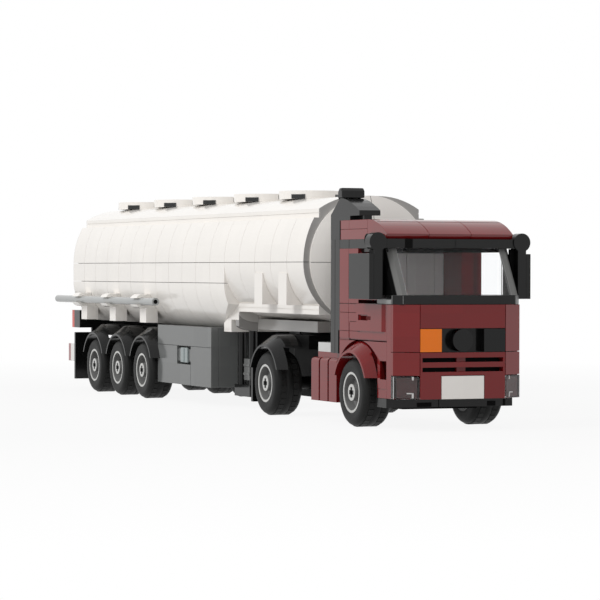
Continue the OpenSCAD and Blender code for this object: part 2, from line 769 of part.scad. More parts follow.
// Arch over a wheel: it widens from a thin round lip beside the tyre to an elliptic edge at the body
module wheel_arch(s, y0) {
  lip_z = wheel_r + arch_r + fit;
  difference() {
    hull() {
      across(arch_y - arch_lip_w, arch_y, arch_outline(s, arch_half, arch_half));
      across(y0, arch_y - arch_slope_w, arch_outline(s, arch_wide, arch_rise));
    }
    bar(s, wheel_r, arch_r, y0 - over, arch_y + over);
    box(s - arch_wide - over, s + arch_wide + over, y0 - over, arch_y - arch_leg_w, 0, lip_z);
  }
}
module front_arches() {
  color([0.45, 0.08, 0.08]) both() wheel_arch(front_axle_s, cab_half - wall_t);
}

module side_tanks() {
  outline = concat([[beam_half, side_tank_z], [cab_half, side_tank_z]],
      arc([cab_half - side_tank_round, side_tank_top - side_tank_round], side_tank_round, 0, 90, 8),
      [[beam_half, side_tank_top]]);
  color([0.45, 0.08, 0.08]) both() {
    for (i = [0:side_tank_ribs - 1]) along(side_tank_s + i * side_tank_rib,
        side_tank_s + (i + 1) * side_tank_rib - side_tank_groove) polygon(outline);
    box(side_tank_s, side_tank_end_s, beam_half, cab_half - side_tank_shelf, side_tank_z + plate_h, frame_z);
  }
}
module tank_steps() {
  y1 = cab_half - side_tank_shelf;
  color([0.75, 0.75, 0.73]) both()
    box(side_tank_end_s - step_l, side_tank_end_s, y1 - step_w, y1, frame_z, frame_z + step_h);
}

module drive_mudguards() { color([0.08, 0.08, 0.08]) both() wheel_arch(drive_axle_s, tyre_in); }
module drive_mudflaps() {
  s0 = drive_axle_s + arch_half * cos(asin((arch_foot_z - wheel_r) / arch_rise)) - flap_t;
  color([0.06, 0.06, 0.06]) both() box(s0, s0 + flap_t, tyre_in, track_half, flap_z, arch_foot_z);
}

module fifth_wheel() {
  color([0.2, 0.2, 0.2]) translate([fx(kingpin_s), 0, deck_top]) difference() {
    cylinder(d = fifth_d, h = fifth_h);
    translate([0, 0, -over]) cylinder(d = kingpin_d + 2 * kingpin_fit, h = fifth_h + 2 * over);
  }
}

// Cross at an axle's end, grown by g
module cross(g) {
  for (a = [0, 90]) rotate(a) square([cross_l + 2 * g, cross_arm + 2 * g], center = true);
}
module axle(s) {
  color([0.08, 0.08, 0.08]) translate([fx(s), 0, wheel_r]) rotate([90, 0, 0]) {
    cylinder(d = axle_d, h = 2 * tyre_in, center = true);
    linear_extrude(2 * rim_half - rim_dish, center = true) cross(-fit);
  }
}
module rims(s) {
  color([0.45, 0.46, 0.46]) both() translate([fx(s), rim_half, wheel_r]) rotate([90, 0, 0]) difference() {
    union() {
      difference() {
        cylinder(d = rim_d, h = tyre_w - rim_in - fit);
        translate([0, 0, -over]) cylinder(d = rim_d - 2 * rim_wall, h = rim_dish + over);
      }
      cylinder(d = hub_d, h = rim_dish + over);
    }
    translate([0, 0, -over]) linear_extrude(tyre_w + 2 * over) cross(0);
  }
}
module tyres(s) {
  side = arc([wheel_r - tyre_round, tyre_w / 2 - tyre_round], tyre_round, 0, 90, 6);
  low = [for (i = [6:-1:0]) [side[i][0], -side[i][1]]];
  color([0.07, 0.07, 0.07]) both() translate([fx(s), track_half - tyre_w / 2, wheel_r]) rotate([90, 0, 0])
    rotate_extrude() polygon(concat([[rim_d / 2 + fit, -tyre_w / 2]], low, side,
        [[rim_d / 2 + fit, tyre_w / 2]]));
}
module front_axle() { axle(front_axle_s); }
module front_rims() { rims(front_axle_s); }
module front_tyres() { tyres(front_axle_s); }
module drive_axle() { axle(drive_axle_s); }
module drive_rims() { rims(drive_axle_s); }
module drive_tyres() { tyres(drive_axle_s); }
module trailer_axle_1() { axle(trailer_axles[0]); }
module trailer_rims_1() { rims(trailer_axles[0]); }
module trailer_tyres_1() { tyres(trailer_axles[0]); }
module trailer_axle_2() { axle(trailer_axles[1]); }
module trailer_rims_2() { rims(trailer_axles[1]); }
module trailer_tyres_2() { tyres(trailer_axles[1]); }
module trailer_axle_3() { axle(trailer_axles[2]); }
module trailer_rims_3() { rims(trailer_axles[2]); }
module trailer_tyres_3() { tyres(trailer_axles[2]); }

module trailer_chassis() {
  s0 = deep_s + 2 * board_step_l;
  color([0.16, 0.16, 0.17]) difference() {
    union() {
      box(s0, rear_block_s - rear_block_l, -beam_half, beam_half, beam_z, deep_z);
      box(cabinet_end_s, trailer_axles[2] + arch_half, -tyre_in, tyre_in, frame_z, deck_top);
    }
    for (s = trailer_axles) bar(s, wheel_r, axle_d / 2 + axle_fit, -track_half, track_half);
  }
}

module kingpin_plate() {
  pin_z = fifth_top - kingpin_l + over;
  color([0.85, 0.85, 0.83]) {
    box(deep_s - king_plate_l, deep_s, -king_plate_w / 2, king_plate_w / 2, king_plate_z, slim_z - fit);
    translate([fx(kingpin_s), 0, pin_z]) cylinder(d = kingpin_d, h = king_plate_z + over - pin_z);
  }
}

// Outlines of the tank in y and z, grown by g
module band(z0, z1) { translate([-tank_w, z0]) square([2 * tank_w, z1 - z0]); }
module upper_outline(g) {
  intersection() {
    translate([tank_half - shoulder_r, belt_line_z]) circle(r = shoulder_r + g, $fn = 180);
    translate([shoulder_r - tank_half, belt_line_z]) circle(r = shoulder_r + g, $fn = 180);
    band(belt_line_z + seam_w, strip_z);
  }
}
// Two round flanks about a flat middle, or two that cross where the middle has no width
module barrel(c, r, z, g) {
  if (c > 0) {
    for (k = [-1, 1]) translate([k * c, z]) circle(r = r + g, $fn = 128);
    translate([-c, z - (r + g)]) square([2 * c, 2 * (r + g)]);
  } else intersection() {
    translate([c, z]) circle(r = r + g, $fn = 128);
    translate([-c, z]) circle(r = r + g, $fn = 128);
  }
}
module slim_outline(g) {
  intersection() {
    barrel(tank_half - slim_r, slim_r, belt_line_z, g);
    band(belt_line_z - (slim_r + g), belt_line_z);
  }
}
module deep_outline(g) {
  intersection() {
    barrel(tank_half - deep_r, deep_r, panel_z, g);
    band(deep_z, panel_z);
  }
}
module side_outline(g) {
  translate([-tank_half - g, panel_z + seam_w]) square([tank_w + 2 * g, panel_h - seam_w]);
}
module strip_outline(g) {
  translate([-strip_w / 2 - g, strip_z]) square([strip_w + 2 * g, strip_edge]);
  intersection() {
    barrel(strip_flat / 2, strip_r, strip_top - strip_r, g);
    translate([-strip_w / 2 - g, strip_z + strip_edge - over]) square([strip_w + 2 * g, strip_edge * 2]);
  }
}
// Gaps between the bricks of a row, as slices between two stations
module joints(s0, s1, l) {
  n = round((s1 - s0) / l);
  for (i = [1:n - 1]) along(s0 + i * (s1 - s0) / n - seam_w / 2,
      s0 + i * (s1 - s0) / n + seam_w / 2) children();
}

module tank_upper() {
  color([0.97, 0.96, 0.94]) difference() {
    along(tank_front_s, tank_rear_s) upper_outline(0);
    joints(tank_front_s, tank_rear_s, tank_brick_l) difference() {
      band(belt_line_z - over, strip_z + over);
      upper_outline(-seam_d);
    }
  }
}
module tank_strip() {
  color([0.97, 0.96, 0.94]) difference() {
    along(tank_front_s, tank_rear_s) strip_outline(0);
    both() box(tank_front_s - over, tank_rear_s + over, strip_w / 2 - seam_d, strip_w / 2 + over,
        strip_z + strip_edge / 2, strip_z + strip_edge / 2 + seam_w);
  }
}
module tank_belly_front() {
  color([0.95, 0.94, 0.92]) difference() {
    along(tank_front_s, deep_s) slim_outline(0);
    joints(tank_front_s, deep_s, tank_brick_l) difference() {
      band(slim_z - tank_w, belt_line_z + over);
      slim_outline(-seam_d);
    }
  }
}
module tank_side_panels() {
  color([0.97, 0.96, 0.94]) difference() {
    along(deep_s, tank_rear_s) side_outline(0);
    joints(deep_s, tank_rear_s, tank_brick_l) difference() {
      band(panel_z - over, belt_line_z + over);
      side_outline(-seam_d);
    }
  }
}
module tank_belly_rear() {
  color([0.95, 0.94, 0.92]) difference() {
    along(deep_s, tank_rear_s) deep_outline(0);
    joints(deep_s, tank_rear_s, tank_brick_l) difference() {
      band(deep_z - over, panel_z + over);
      deep_outline(-seam_d);
    }
    across(-tank_half - over, tank_half + over,
        [[deep_s - over, deep_slant_z + over * (deep_slant_z - deep_z) / deep_slant_l],
        [deep_s + deep_slant_l, deep_z], [deep_s + deep_slant_l, deep_z - over],
        [deep_s - over, deep_z - over]]);
  }
}

module end_cap() {
  cap_r = cap_d / 2;
  ball_r = (pow(cap_r, 2) + pow(cap_bulge, 2)) / (2 * cap_bulge);
  rotate([0, 90, 0]) rotate_extrude($fn = 96) {
    square([cap_r, cap_edge]);
    intersection() {
      translate([0, cap_edge + cap_bulge - ball_r]) circle(r = ball_r, $fn = 256);
      translate([0, cap_edge - over]) square([cap_r, cap_bulge + 2 * over]);
    }
  }
}
module tank_caps() {
  color([0.9, 0.89, 0.87]) {
    translate([fx(tank_front_s), 0, cap_z]) end_cap();
    translate([fx(tank_rear_s), 0, cap_z]) mirror([1, 0, 0]) end_cap();
  }
}

module hatches() {
  color([0.95, 0.94, 0.92]) for (i = [0:hatches_n - 1]) translate([fx(tank_front_s + hatch_front
      + i * hatch_pitch), 0, strip_top]) difference() {
    cylinder(d = hatch_d, h = hatch_h);
    for (a = [45:90:315]) rotate(a) translate([hatch_d / 2 - notch_d, -notch_w / 2, -over]) cube([hatch_d,
        notch_w, hatch_h / 2 + over]);
  }
}

module tank_saddle() {
  half = saddle_half;
  slope = (deep_slant_z - deep_z) / deep_slant_l;
  end_s = deep_s + 2 * board_step_l;
  color([0.93, 0.92, 0.9]) {
    difference() {
      union() {
        box(tank_front_s, deep_s, -half, half, board_z - board_t, board_z);
        both() for (i = [0, 1]) {
          s0 = tank_front_s + strut_s + i * strut_pitch;
          box(s0, s0 + strut_l, half - strut_t, tank_half, board_z - over, belt_line_z - strut_drop);
        }
      }
      along(tank_front_s - over, deep_s + over) slim_outline(fit);
      both() box(tank_front_s - over, deep_s + over, half - seam_d, half + over, board_z - board_t / 2,
          board_z - board_t / 2 + seam_w);
      both() box(tank_front_s - over, deep_s + over, half, tank_half + over, 0, board_z);
    }
    across(-half, half, [
        [deep_s, board_z - board_t], [deep_s, step_1_z], [deep_s + board_step_l, step_1_z],
        [deep_s + board_step_l, step_2_z], [end_s, step_2_z],
        [end_s, deep_slant_z - slope * 2 * board_step_l - fit], [deep_s, deep_slant_z - fit]]);
  }
}

module cabinets() {
  top = deep_z - seam_w / 2;
  s1 = cabinet_end_s;
  latch_0 = (cabinet_s + cabinet_end_s - latch_l) / 2;
  row = top - cabinet_row;
  color([0.42, 0.43, 0.43]) both() difference() {
    box(cabinet_s, s1, beam_half, cabinet_half, cabinet_z, top);
    box(cabinet_s - over, s1 + over, cabinet_half - seam_d, cabinet_half + over, row - seam_w, row);
    box(latch_0 - seam_w, latch_0, cabinet_half - seam_d, cabinet_half + over, cabinet_z - over, row);
    box(cabinet_s - over, cabinet_s + seam_d, cabinet_half - cabinet_panel_t - seam_w,
        cabinet_half - cabinet_panel_t, cabinet_z - over, top + over);
    box(latch_0, latch_0 + latch_l, cabinet_half - seam_d * 2, cabinet_half + over, row - latch_h,
        row - seam_w);
    for (z = [row - latch_slot - seam_w, row - latch_h]) box(latch_0, latch_0 + latch_l,
        cabinet_half - cabinet_panel_t, cabinet_half + over, z, z + latch_slot);
  }
}

module landing_legs() {
  first_s = deep_s + leg_first;
  y0 = (leg_track - foot_w) / 2;
  color([0.12, 0.12, 0.12]) both() {
    for (leg = [[first_s, step_1_z], [first_s + leg_pitch, step_2_z]])
      translate([fx(leg[0]), leg_track / 2, leg_z]) cylinder(d = leg_d, h = leg[1] - leg_z);
    box(first_s - sleeve_l / 2, first_s + leg_pitch + leg_d / 2, y0, y0 + foot_w, leg_z, leg_z + foot_h);
    difference() {
      box(first_s - sleeve_l / 2, first_s + sleeve_l / 2, y0, y0 + foot_w, sleeve_z, sleeve_z + sleeve_h);
      box(first_s - seam_d, first_s + seam_d, y0 + foot_w - seam_d * 2, y0 + foot_w + over,
          sleeve_z - over, sleeve_z + sleeve_h + over);
    }
  }
}

module trailer_mudguards() {
  color([0.08, 0.08, 0.08]) both() difference() {
    for (s = trailer_axles) wheel_arch(s, tyre_in);
    box(cabinet_s, cabinet_end_s + fit, 0, cabinet_half + fit, 0, deck_top + over);
  }
}

module hose_brackets() {
  clip_r = hose_d / 2 + clip_t;
  plate_y = hose_half - hose_d / 2 - fit;
  color([0.93, 0.92, 0.9]) both() for (i = [0:2])
      let (s0 = tank_rear_s - bracket_rear - i * bracket_pitch - bracket_l / 2,
      s1 = s0 + bracket_l) difference() {
    union() {
      box(s0, s1, plate_y - bracket_t * 2, plate_y, bracket_z, hose_z + clip_r);
      along(s0, s1) translate([hose_half, hose_z]) circle(r = clip_r);
    }
    along(s0 - over, s1 + over) translate([hose_half, hose_z]) circle(d = hose_d + 2 * fit);
    box(s0 - over, s1 + over, hose_half, hose_half + clip_r + over, hose_z - clip_mouth / 2,
        hose_z + clip_mouth / 2);
    along(s0 - over, s1 + over) deep_outline(fit);
  }
}
module hoses() {
  color([0.7, 0.7, 0.69]) both() along(rear_end_s - over - hose_l,
      rear_end_s - over) translate([hose_half, hose_z]) difference() {
    circle(d = hose_d);
    circle(d = hose_bore);
  }
}

module rear_bumper() {
  s0 = rear_block_s - rear_block_l;
  inner = rear_half - rear_flap_w;
  color([0.07, 0.07, 0.07]) difference() {
    union() {
      box(s0, rear_block_s, -rear_half, rear_half, lamp_z, deep_z - fit);
      both() box(s0, rear_block_s, rear_half - lamp_w, rear_half, lamp_z, lamp_z + lamp_h);
      both() box(rear_block_s - flap_t, rear_block_s, inner, rear_half, rear_flap_z, lamp_z - rear_flap_gap);
      both() box(rear_block_s - flap_t, rear_block_s, inner, rear_half - rear_flap_w / 2, rear_flap_z,
          lamp_z + over);
      box(rear_block_s - over, rear_end_s - lamp_t, -rear_half, rear_half, low_lamp_z, low_lamp_z + lamp_h);
    }
    along(s0 - over, rear_block_s + over) deep_outline(fit);
  }
}
module tail_lamps() {
  color([0.8, 0.12, 0.1]) both() {
    box(rear_block_s, rear_block_s + lamp_t, rear_half - lamp_w, rear_half, lamp_z, lamp_z + lamp_h);
    box(rear_end_s - lamp_t, rear_end_s, rear_half - low_lamp_w, rear_half, low_lamp_z,
        low_lamp_z + lamp_h);
  }
}

tractor_chassis();
front_bumper();
cab_core();
cab_front_panel();
corner_slopes();
headlamps();
hazard_plate();
number_plate();
nose_board();
cab_floor();
cab_sides();
door_panels();
windscreen_sill();
windscreen();
side_windows();
window_header();
cab_roof();
cab_back_wall();
air_intake();
intake_cap();
mirror_arms();
mirror_heads();
front_arches();
side_tanks();
tank_steps();
drive_mudguards();
drive_mudflaps();
fifth_wheel();
front_axle();
front_rims();
front_tyres();
drive_axle();
drive_rims();
drive_tyres();
trailer_axle_1();
trailer_rims_1();
trailer_tyres_1();
trailer_axle_2();
trailer_rims_2();
trailer_tyres_2();
trailer_axle_3();
trailer_rims_3();
trailer_tyres_3();
trailer_chassis();
kingpin_plate();
tank_saddle();
tank_upper();
tank_strip();
tank_belly_front();
tank_side_panels();
tank_belly_rear();
tank_caps();
hatches();
cabinets();
landing_legs();
trailer_mudguards();
hose_brackets();
hoses();
rear_bumper();
tail_lamps();
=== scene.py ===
import math

import bmesh
import bpy
from mathutils import Matrix, Vector


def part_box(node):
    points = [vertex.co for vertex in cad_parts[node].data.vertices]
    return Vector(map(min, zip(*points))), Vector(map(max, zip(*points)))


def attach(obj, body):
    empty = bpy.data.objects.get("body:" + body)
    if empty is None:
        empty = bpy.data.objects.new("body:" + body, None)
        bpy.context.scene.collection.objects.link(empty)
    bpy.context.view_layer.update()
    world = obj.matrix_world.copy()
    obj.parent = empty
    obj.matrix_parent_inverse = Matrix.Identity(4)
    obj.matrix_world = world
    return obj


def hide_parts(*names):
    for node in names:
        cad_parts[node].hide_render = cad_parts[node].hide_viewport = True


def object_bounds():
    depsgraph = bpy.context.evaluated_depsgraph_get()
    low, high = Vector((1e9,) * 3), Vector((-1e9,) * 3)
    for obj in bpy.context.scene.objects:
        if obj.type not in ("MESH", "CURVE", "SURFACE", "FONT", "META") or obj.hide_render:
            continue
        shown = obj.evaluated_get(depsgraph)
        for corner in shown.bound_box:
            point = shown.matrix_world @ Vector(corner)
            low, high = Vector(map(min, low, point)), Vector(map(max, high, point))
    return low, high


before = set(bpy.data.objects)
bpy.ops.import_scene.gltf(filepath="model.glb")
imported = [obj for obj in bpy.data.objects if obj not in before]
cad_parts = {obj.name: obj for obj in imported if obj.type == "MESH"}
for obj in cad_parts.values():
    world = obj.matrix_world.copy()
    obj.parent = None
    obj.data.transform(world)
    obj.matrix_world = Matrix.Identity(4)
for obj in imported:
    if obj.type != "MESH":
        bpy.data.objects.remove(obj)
cad_low, cad_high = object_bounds()

# Tractor and trailer frames
# Stacked black bricks and plates: the two beams, the bumper, the fifth wheel, flaps and landing legs.
# They are moulded in glossy plastic and pushed together, so each edge has a small moulded rounding.
# The beams and the fifth wheel are painted a deeper, duller black, as the shade that falls on them.
MM = 0.001
FRONT = cad_high[0]
BRICK = (16 * MM, 16 * MM, 8 * MM)
BLACK = (0.008, 0.0082, 0.0082)
DEEP_BLACK_AND_SHADE = (0.004, 0.004, 0.004)
SLEEVE_GREY = (0.15, 0.152, 0.15)
BAR_WHITE = (0.86, 0.845, 0.82)
MOULD_WAVES = 260
MOULD_WAVE_DEPTH = 0.05 * MM
TONE_STEP = 0.1 * MM
SHARP = math.radians(35)
EDGE = 0.12 * MM
FINE_EDGE = 0.04 * MM
EDGE_STEPS = 2
WELD_REACH = 0.002 * MM
BAR_START = 355.6
BUMPER_SKIN = (9.85, 10.3)
BUMPER_SHADE_MARKS = (((-12.6, -7.1), (7.75, 9.25)), ((14.2, 17.4), (7.75, 9.45)),
                ((20.3, 21.2), (7.75, 10)), ((-4.45, -4.25), (7.7, 10.7)))
SLEEVE = ((156.8, 162.6), (10.7, 15.95), (11.15, 19.55))
SLEEVE_RIB = ((156.55, 162.85), (10.6, 16.2))
SLEEVE_RIB_FEET = (13.2, 16.6)
SLEEVE_RIB_HIGH = 0.9


def moulded(name, colour, gloss=0.13, tone=0.04, shine=0.27):
    """Glossy moulded plastic, each brick a shade apart, with a faint waviness left by the mould."""
    material = bpy.data.materials.new(name)
    material.use_nodes = True
    tree = material.node_tree
    shader = tree.nodes["Principled BSDF"]
    shader.inputs["Specular IOR Level"].default_value = shine
    place = tree.nodes.new("ShaderNodeTexCoord")
    cells = tree.nodes.new("ShaderNodeVectorMath")
    cells.operation = "SNAP"
    cells.inputs[1].default_value = BRICK
    pick = tree.nodes.new("ShaderNodeTexWhiteNoise")
    shade = tree.nodes.new("ShaderNodeMapRange")
    shade.inputs["To Min"].default_value = 1 - tone
    shade.inputs["To Max"].default_value = 1 + tone
    tint = tree.nodes.new("ShaderNodeHueSaturation")
    tint.inputs["Color"].default_value = (*colour, 1)
    wave = tree.nodes.new("ShaderNodeTexNoise")
    wave.inputs["Scale"].default_value = MOULD_WAVES
    wave.inputs["Detail"].default_value = 4
    polish = tree.nodes.new("ShaderNodeMapRange")
    polish.inputs["To Min"].default_value = gloss - 0.04
    polish.inputs["To Max"].default_value = gloss + 0.06
    skin = tree.nodes.new("ShaderNodeBump")
    skin.inputs["Strength"].default_value = 0.12
    skin.inputs["Distance"].default_value = MOULD_WAVE_DEPTH
    for a, b in (
        (place.outputs["Object"], cells.inputs[0]),
        (cells.outputs["Vector"], pick.inputs["Vector"]),
        (pick.outputs["Value"], shade.inputs["Value"]),
        (shade.outputs["Result"], tint.inputs["Value"]),
        (tint.outputs["Color"], shader.inputs["Base Color"]),
        (place.outputs["Object"], wave.inputs["Vector"]),
        (wave.outputs["Fac"], polish.inputs["Value"]),
        (polish.outputs["Result"], shader.inputs["Roughness"]),
        (wave.outputs["Fac"], skin.inputs["Height"]),
        (skin.outputs["Normal"], shader.inputs["Normal"]),
    ):
        tree.links.new(a, b)
    return material


def two_tone(material, colour, axis, centre, reach):
    """Turns a plastic to a second colour beyond a reach from a centre plane, where another piece begins."""
    tree = material.node_tree
    shader = tree.nodes["Principled BSDF"]
    tint = next(n for n in tree.nodes if n.bl_idname == "ShaderNodeHueSaturation")
    place = next(n for n in tree.nodes if n.bl_idname == "ShaderNodeTexCoord")
    split = tree.nodes.new("ShaderNodeSeparateXYZ")
    away = tree.nodes.new("ShaderNodeMath")
    away.operation = "SUBTRACT"
    away.inputs[1].default_value = centre
    size = tree.nodes.new("ShaderNodeMath")
    size.operation = "ABSOLUTE"
    beyond = tree.nodes.new("ShaderNodeMapRange")
    beyond.inputs["From Min"].default_value = reach
    beyond.inputs["From Max"].default_value = reach + TONE_STEP
    mix = tree.nodes.new("ShaderNodeMix")
    mix.data_type = "RGBA"
    mix.inputs["B"].default_value = (*colour, 1)
    for a, b in (
        (place.outputs["Object"], split.inputs[0]),
        (split.outputs[axis], away.inputs[0]),
        (away.outputs[0], size.inputs[0]),
        (size.outputs[0], beyond.inputs["Value"]),
        (beyond.outputs["Result"], mix.inputs["Factor"]),
        (tint.outputs["Color"], mix.inputs["A"]),
        (mix.outputs["Result"], shader.inputs["Base Color"]),
    ):
        tree.links.new(a, b)
    return material


def finish_node(node, material, edge=EDGE):
    """Gives a CAD node its plastic, and a box-shaped one the small rounding of a mould's corner."""
    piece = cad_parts[node]
    piece.data.materials.clear()
    piece.data.materials.append(material)
    if edge:
        join = piece.modifiers.new("joined corners", "WELD")
        join.merge_threshold = WELD_REACH
        rounding = piece.modifiers.new("moulded edge", "BEVEL")
        rounding.width = edge
        rounding.segments = EDGE_STEPS
        rounding.limit_method = "ANGLE"
        rounding.angle_limit = SHARP


def spot(s, y, z):
    """A place on the lorry in millimetres: behind its front panel, to its left and above the ground."""
    return FRONT - s * MM, y * MM, z * MM


def add_walls(shape, first, second):
    """Closes a prism between two outlines: its two ends and the walls that join them."""
    shape.faces.new(first)
    shape.faces.new(second)
    for i in range(len(first)):
        k = (i + 1) % len(first)
        shape.faces.new((first[i], first[k], second[k], second[i]))


def add_prism(shape, plan, z):
    """Adds an upright prism to a shape, from its corners seen from above and its two heights."""
    add_walls(shape, *[[shape.verts.new(spot(s, y, height)) for s, y in plan] for height in z])


def add_block(shape, s, y, z):
    """Adds a box to a shape, from its two stations, its two sides and its two heights."""
    add_prism(shape, [(s[0], y[0]), (s[1], y[0]), (s[1], y[1]), (s[0], y[1])], z)


def add_pair(shape, s, y, z):
    """Adds a box to a shape on each side of the lorry, the one the other's mirror image."""
    for side in (-1, 1):
        add_block(shape, s, (side * y[0], side * y[1]), z)


def finish_piece(name, shape, material, body, rounding=EDGE):
    """Rounds a shape's edges as a mould does, gives it its plastic and lets it ride on a body."""
    bmesh.ops.recalc_face_normals(shape, faces=shape.faces)
    if rounding:
        corners = [e for e in shape.edges if len(e.link_faces) == 2 and e.calc_face_angle() > SHARP]
        bmesh.ops.bevel(shape, geom=corners, offset=rounding, segments=1, profile=0.5, affect="EDGES",
                        clamp_overlap=True)
    for face in shape.faces:
        face.smooth = True
    for edge in shape.edges:
        edge.smooth = edge.calc_face_angle(0) < SHARP
    mesh = bpy.data.meshes.new(name)
    shape.to_mesh(mesh)
    shape.free()
    mesh.materials.append(material)
    piece = bpy.data.objects.new(name, mesh)
    bpy.context.scene.collection.objects.link(piece)
    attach(piece, body)
    return piece


black = moulded("black brick", BLACK)
# A deeper, duller black that stands for painted shade on beams, recesses, gaps and holes.
painted_shade_black = moulded("shaded black", DEEP_BLACK_AND_SHADE, gloss=0.5, tone=0.1, shine=0.05)
for node in ("front_bumper", "drive_mudflaps"):
    finish_node(node, black)
rear_black = two_tone(moulded("rear black", BLACK), BAR_WHITE, "X", 0, BAR_START * MM - FRONT)
finish_node("rear_bumper", rear_black)
finish_node("landing_legs", black, edge=0)
# Painted shade: the beams and the fifth wheel take the deeper black of the shade between the wheels.
for node in ("tractor_chassis", "trailer_chassis", "fifth_wheel"):
    finish_node(node, painted_shade_black, edge=0)

# Painted shade: near-black blocks set in the bumper's recesses.
bumper_shade_marks = bmesh.new()
for sides, heights in BUMPER_SHADE_MARKS:
    add_block(bumper_shade_marks, BUMPER_SKIN, sides, heights)
finish_piece("bumper_recesses", bumper_shade_marks, painted_shade_black, "tractor", FINE_EDGE)

sleeves = bmesh.new()
add_pair(sleeves, *SLEEVE)
for foot in SLEEVE_RIB_FEET:
    add_pair(sleeves, *SLEEVE_RIB, (foot, foot + SLEEVE_RIB_HIGH))
finish_piece("leg_sleeves", sleeves, moulded("sleeve grey", SLEEVE_GREY), "trailer")

# Wheels
# Five axles, each with two dished rims with a pale lip, held on by a cross, and two soft rubber tyres;
# inside the lip each rim is dark grey, partly its own grey and partly painted shade in the dish.
# The tyres are moulded rings, with rows of short lugs round both shoulders of the tread.
RIM_PALE = (0.60, 0.60, 0.58)
RIM_DISH_DARK_AND_SHADE = (0.24, 0.24, 0.237)
RIM_LIP = 0.25 * MM
RUBBER = (0.013, 0.0133, 0.0131)
RUBBER_GRAINS = 1800
RUBBER_GRAIN_DEPTH = 0.04 * MM
TYRE_WIDTH = 11 * MM
TYRE_STEPS = 96
BEAD = ((-0.15, 0.1), (0.3, 0.05), (1.0, 0), (1.7, 0))
SHOULDER = 2.2 * MM
SHOULDER_STEPS = 5
CROWN = 1.2 * MM
CROWN_SLANT = 0.2 * MM
LUGS = 30
LUG_DEPTH = 0.22 * MM
LUG_WIDTH = 2.0 * MM
LUG_LENGTH = 2.25 * MM
CROSS_LONG = 1.85
CROSS_WIDE = 0.8
CROSS_SUNK = 0.4
CROSS_PROUD = 0.06
CROSS_EDGE = 0.1 * MM


def rubber_material():
    """Matt rubber with a fine grain, its high spots worn a little greyer."""
    material = bpy.data.materials.new("tyre rubber")
    material.use_nodes = True
    tree = material.node_tree
    shader = tree.nodes["Principled BSDF"]
    place = tree.nodes.new("ShaderNodeTexCoord")
    grain = tree.nodes.new("ShaderNodeTexNoise")
    grain.inputs["Scale"].default_value = RUBBER_GRAINS
    grain.inputs["Detail"].default_value = 3
    ramp = tree.nodes.new("ShaderNodeValToRGB")
    ramp.color_ramp.elements[0].color = (*[c * 0.8 for c in RUBBER], 1)
    ramp.color_ramp.elements[1].color = (*[c * 1.5 for c in RUBBER], 1)
    skin = tree.nodes.new("ShaderNodeBump")
    skin.inputs["Strength"].default_value = 0.35
    skin.inputs["Distance"].default_value = RUBBER_GRAIN_DEPTH
    shader.inputs["Roughness"].default_value = 0.5
    shader.inputs["Specular IOR Level"].default_value = 0.14
    for a, b in (
        (place.outputs["Object"], grain.inputs["Vector"]),
        (grain.outputs["Fac"], ramp.inputs["Fac"]),
        (ramp.outputs["Color"], shader.inputs["Base Color"]),
        (grain.outputs["Fac"], skin.inputs["Height"]),
        (skin.outputs["Normal"], shader.inputs["Normal"]),
    ):
        tree.links.new(a, b)
    return material


def carcass_mesh(outer, bead):
    """The tyre without lugs: a closed ring about Y, with flat sides, round shoulders and a raised crown."""
    half = TYRE_WIDTH / 2
    tread = outer - LUG_DEPTH
    flat = half - SHOULDER
    profile = [(bead + rise * MM, -half + sunk * MM) for rise, sunk in BEAD]
    for i in range(SHOULDER_STEPS + 1):
        a = math.radians(90 * i / SHOULDER_STEPS)
        profile.append((tread - (1 - math.sin(a)) * SHOULDER, -flat - math.cos(a) * SHOULDER))
    profile += [(tread, -CROWN - CROWN_SLANT), (outer, -CROWN)]
    profile += [(r, -y) for r, y in reversed(profile)]
    shape = bmesh.new()
    rings = []
    for i in range(TYRE_STEPS):
        turn = 2 * math.pi * i / TYRE_STEPS
        rings.append([shape.verts.new((r * math.cos(turn), y, r * math.sin(turn))) for r, y in profile])
    for a, b in zip(rings, rings[1:] + rings[:1]):
        for j in range(len(profile)):
            k = (j + 1) % len(profile)
            shape.faces.new((a[j], a[k], b[k], b[j]))
    bmesh.ops.recalc_face_normals(shape, faces=shape.faces)
    for face in shape.faces:
        face.smooth = True
    mesh = bpy.data.meshes.new("tyre carcass")
    shape.to_mesh(mesh)
    shape.free()
    return mesh


def new_tree(name, start, inputs, result):
    """Geometry nodes: starts a tree with its named inputs, and gives the tree and its two ends."""
    tree = bpy.data.node_groups.new(name, "GeometryNodeTree")
    tree.interface.new_socket(start, in_out="INPUT", socket_type="NodeSocketGeometry")
    for title, kind in inputs:
        tree.interface.new_socket(title, in_out="INPUT", socket_type=kind)
    tree.interface.new_socket(result, in_out="OUTPUT", socket_type="NodeSocketGeometry")
    return tree, tree.nodes.new("NodeGroupInput").outputs, tree.nodes.new("NodeGroupOutput").inputs


def ring_of(tree, item, count, radius):
    """Geometry nodes: sets an item round a circle so many times, each turned outwards."""
    link = tree.links.new
    ring = tree.nodes.new("GeometryNodeMeshCircle")
    link(count, ring.inputs["Vertices"])
    link(radius, ring.inputs["Radius"])
    index = tree.nodes.new("GeometryNodeInputIndex")
    share = tree.nodes.new("ShaderNodeMath")
    share.operation = "DIVIDE"
    link(index.outputs[0], share.inputs[0])
    link(count, share.inputs[1])
    angle = tree.nodes.new("ShaderNodeMath")
    angle.operation = "MULTIPLY"
    angle.inputs[1].default_value = 2 * math.pi
    link(share.outputs[0], angle.inputs[0])
    spin = tree.nodes.new("ShaderNodeCombineXYZ")
    link(angle.outputs[0], spin.inputs["Z"])
    facing = tree.nodes.new("FunctionNodeEulerToRotation")
    link(spin.outputs[0], facing.inputs[0])
    around = tree.nodes.new("GeometryNodeInstanceOnPoints")
    link(ring.outputs["Mesh"], around.inputs["Points"])
    link(item, around.inputs["Instance"])
    link(facing.outputs[0], around.inputs["Rotation"])
    return around.outputs["Instances"]


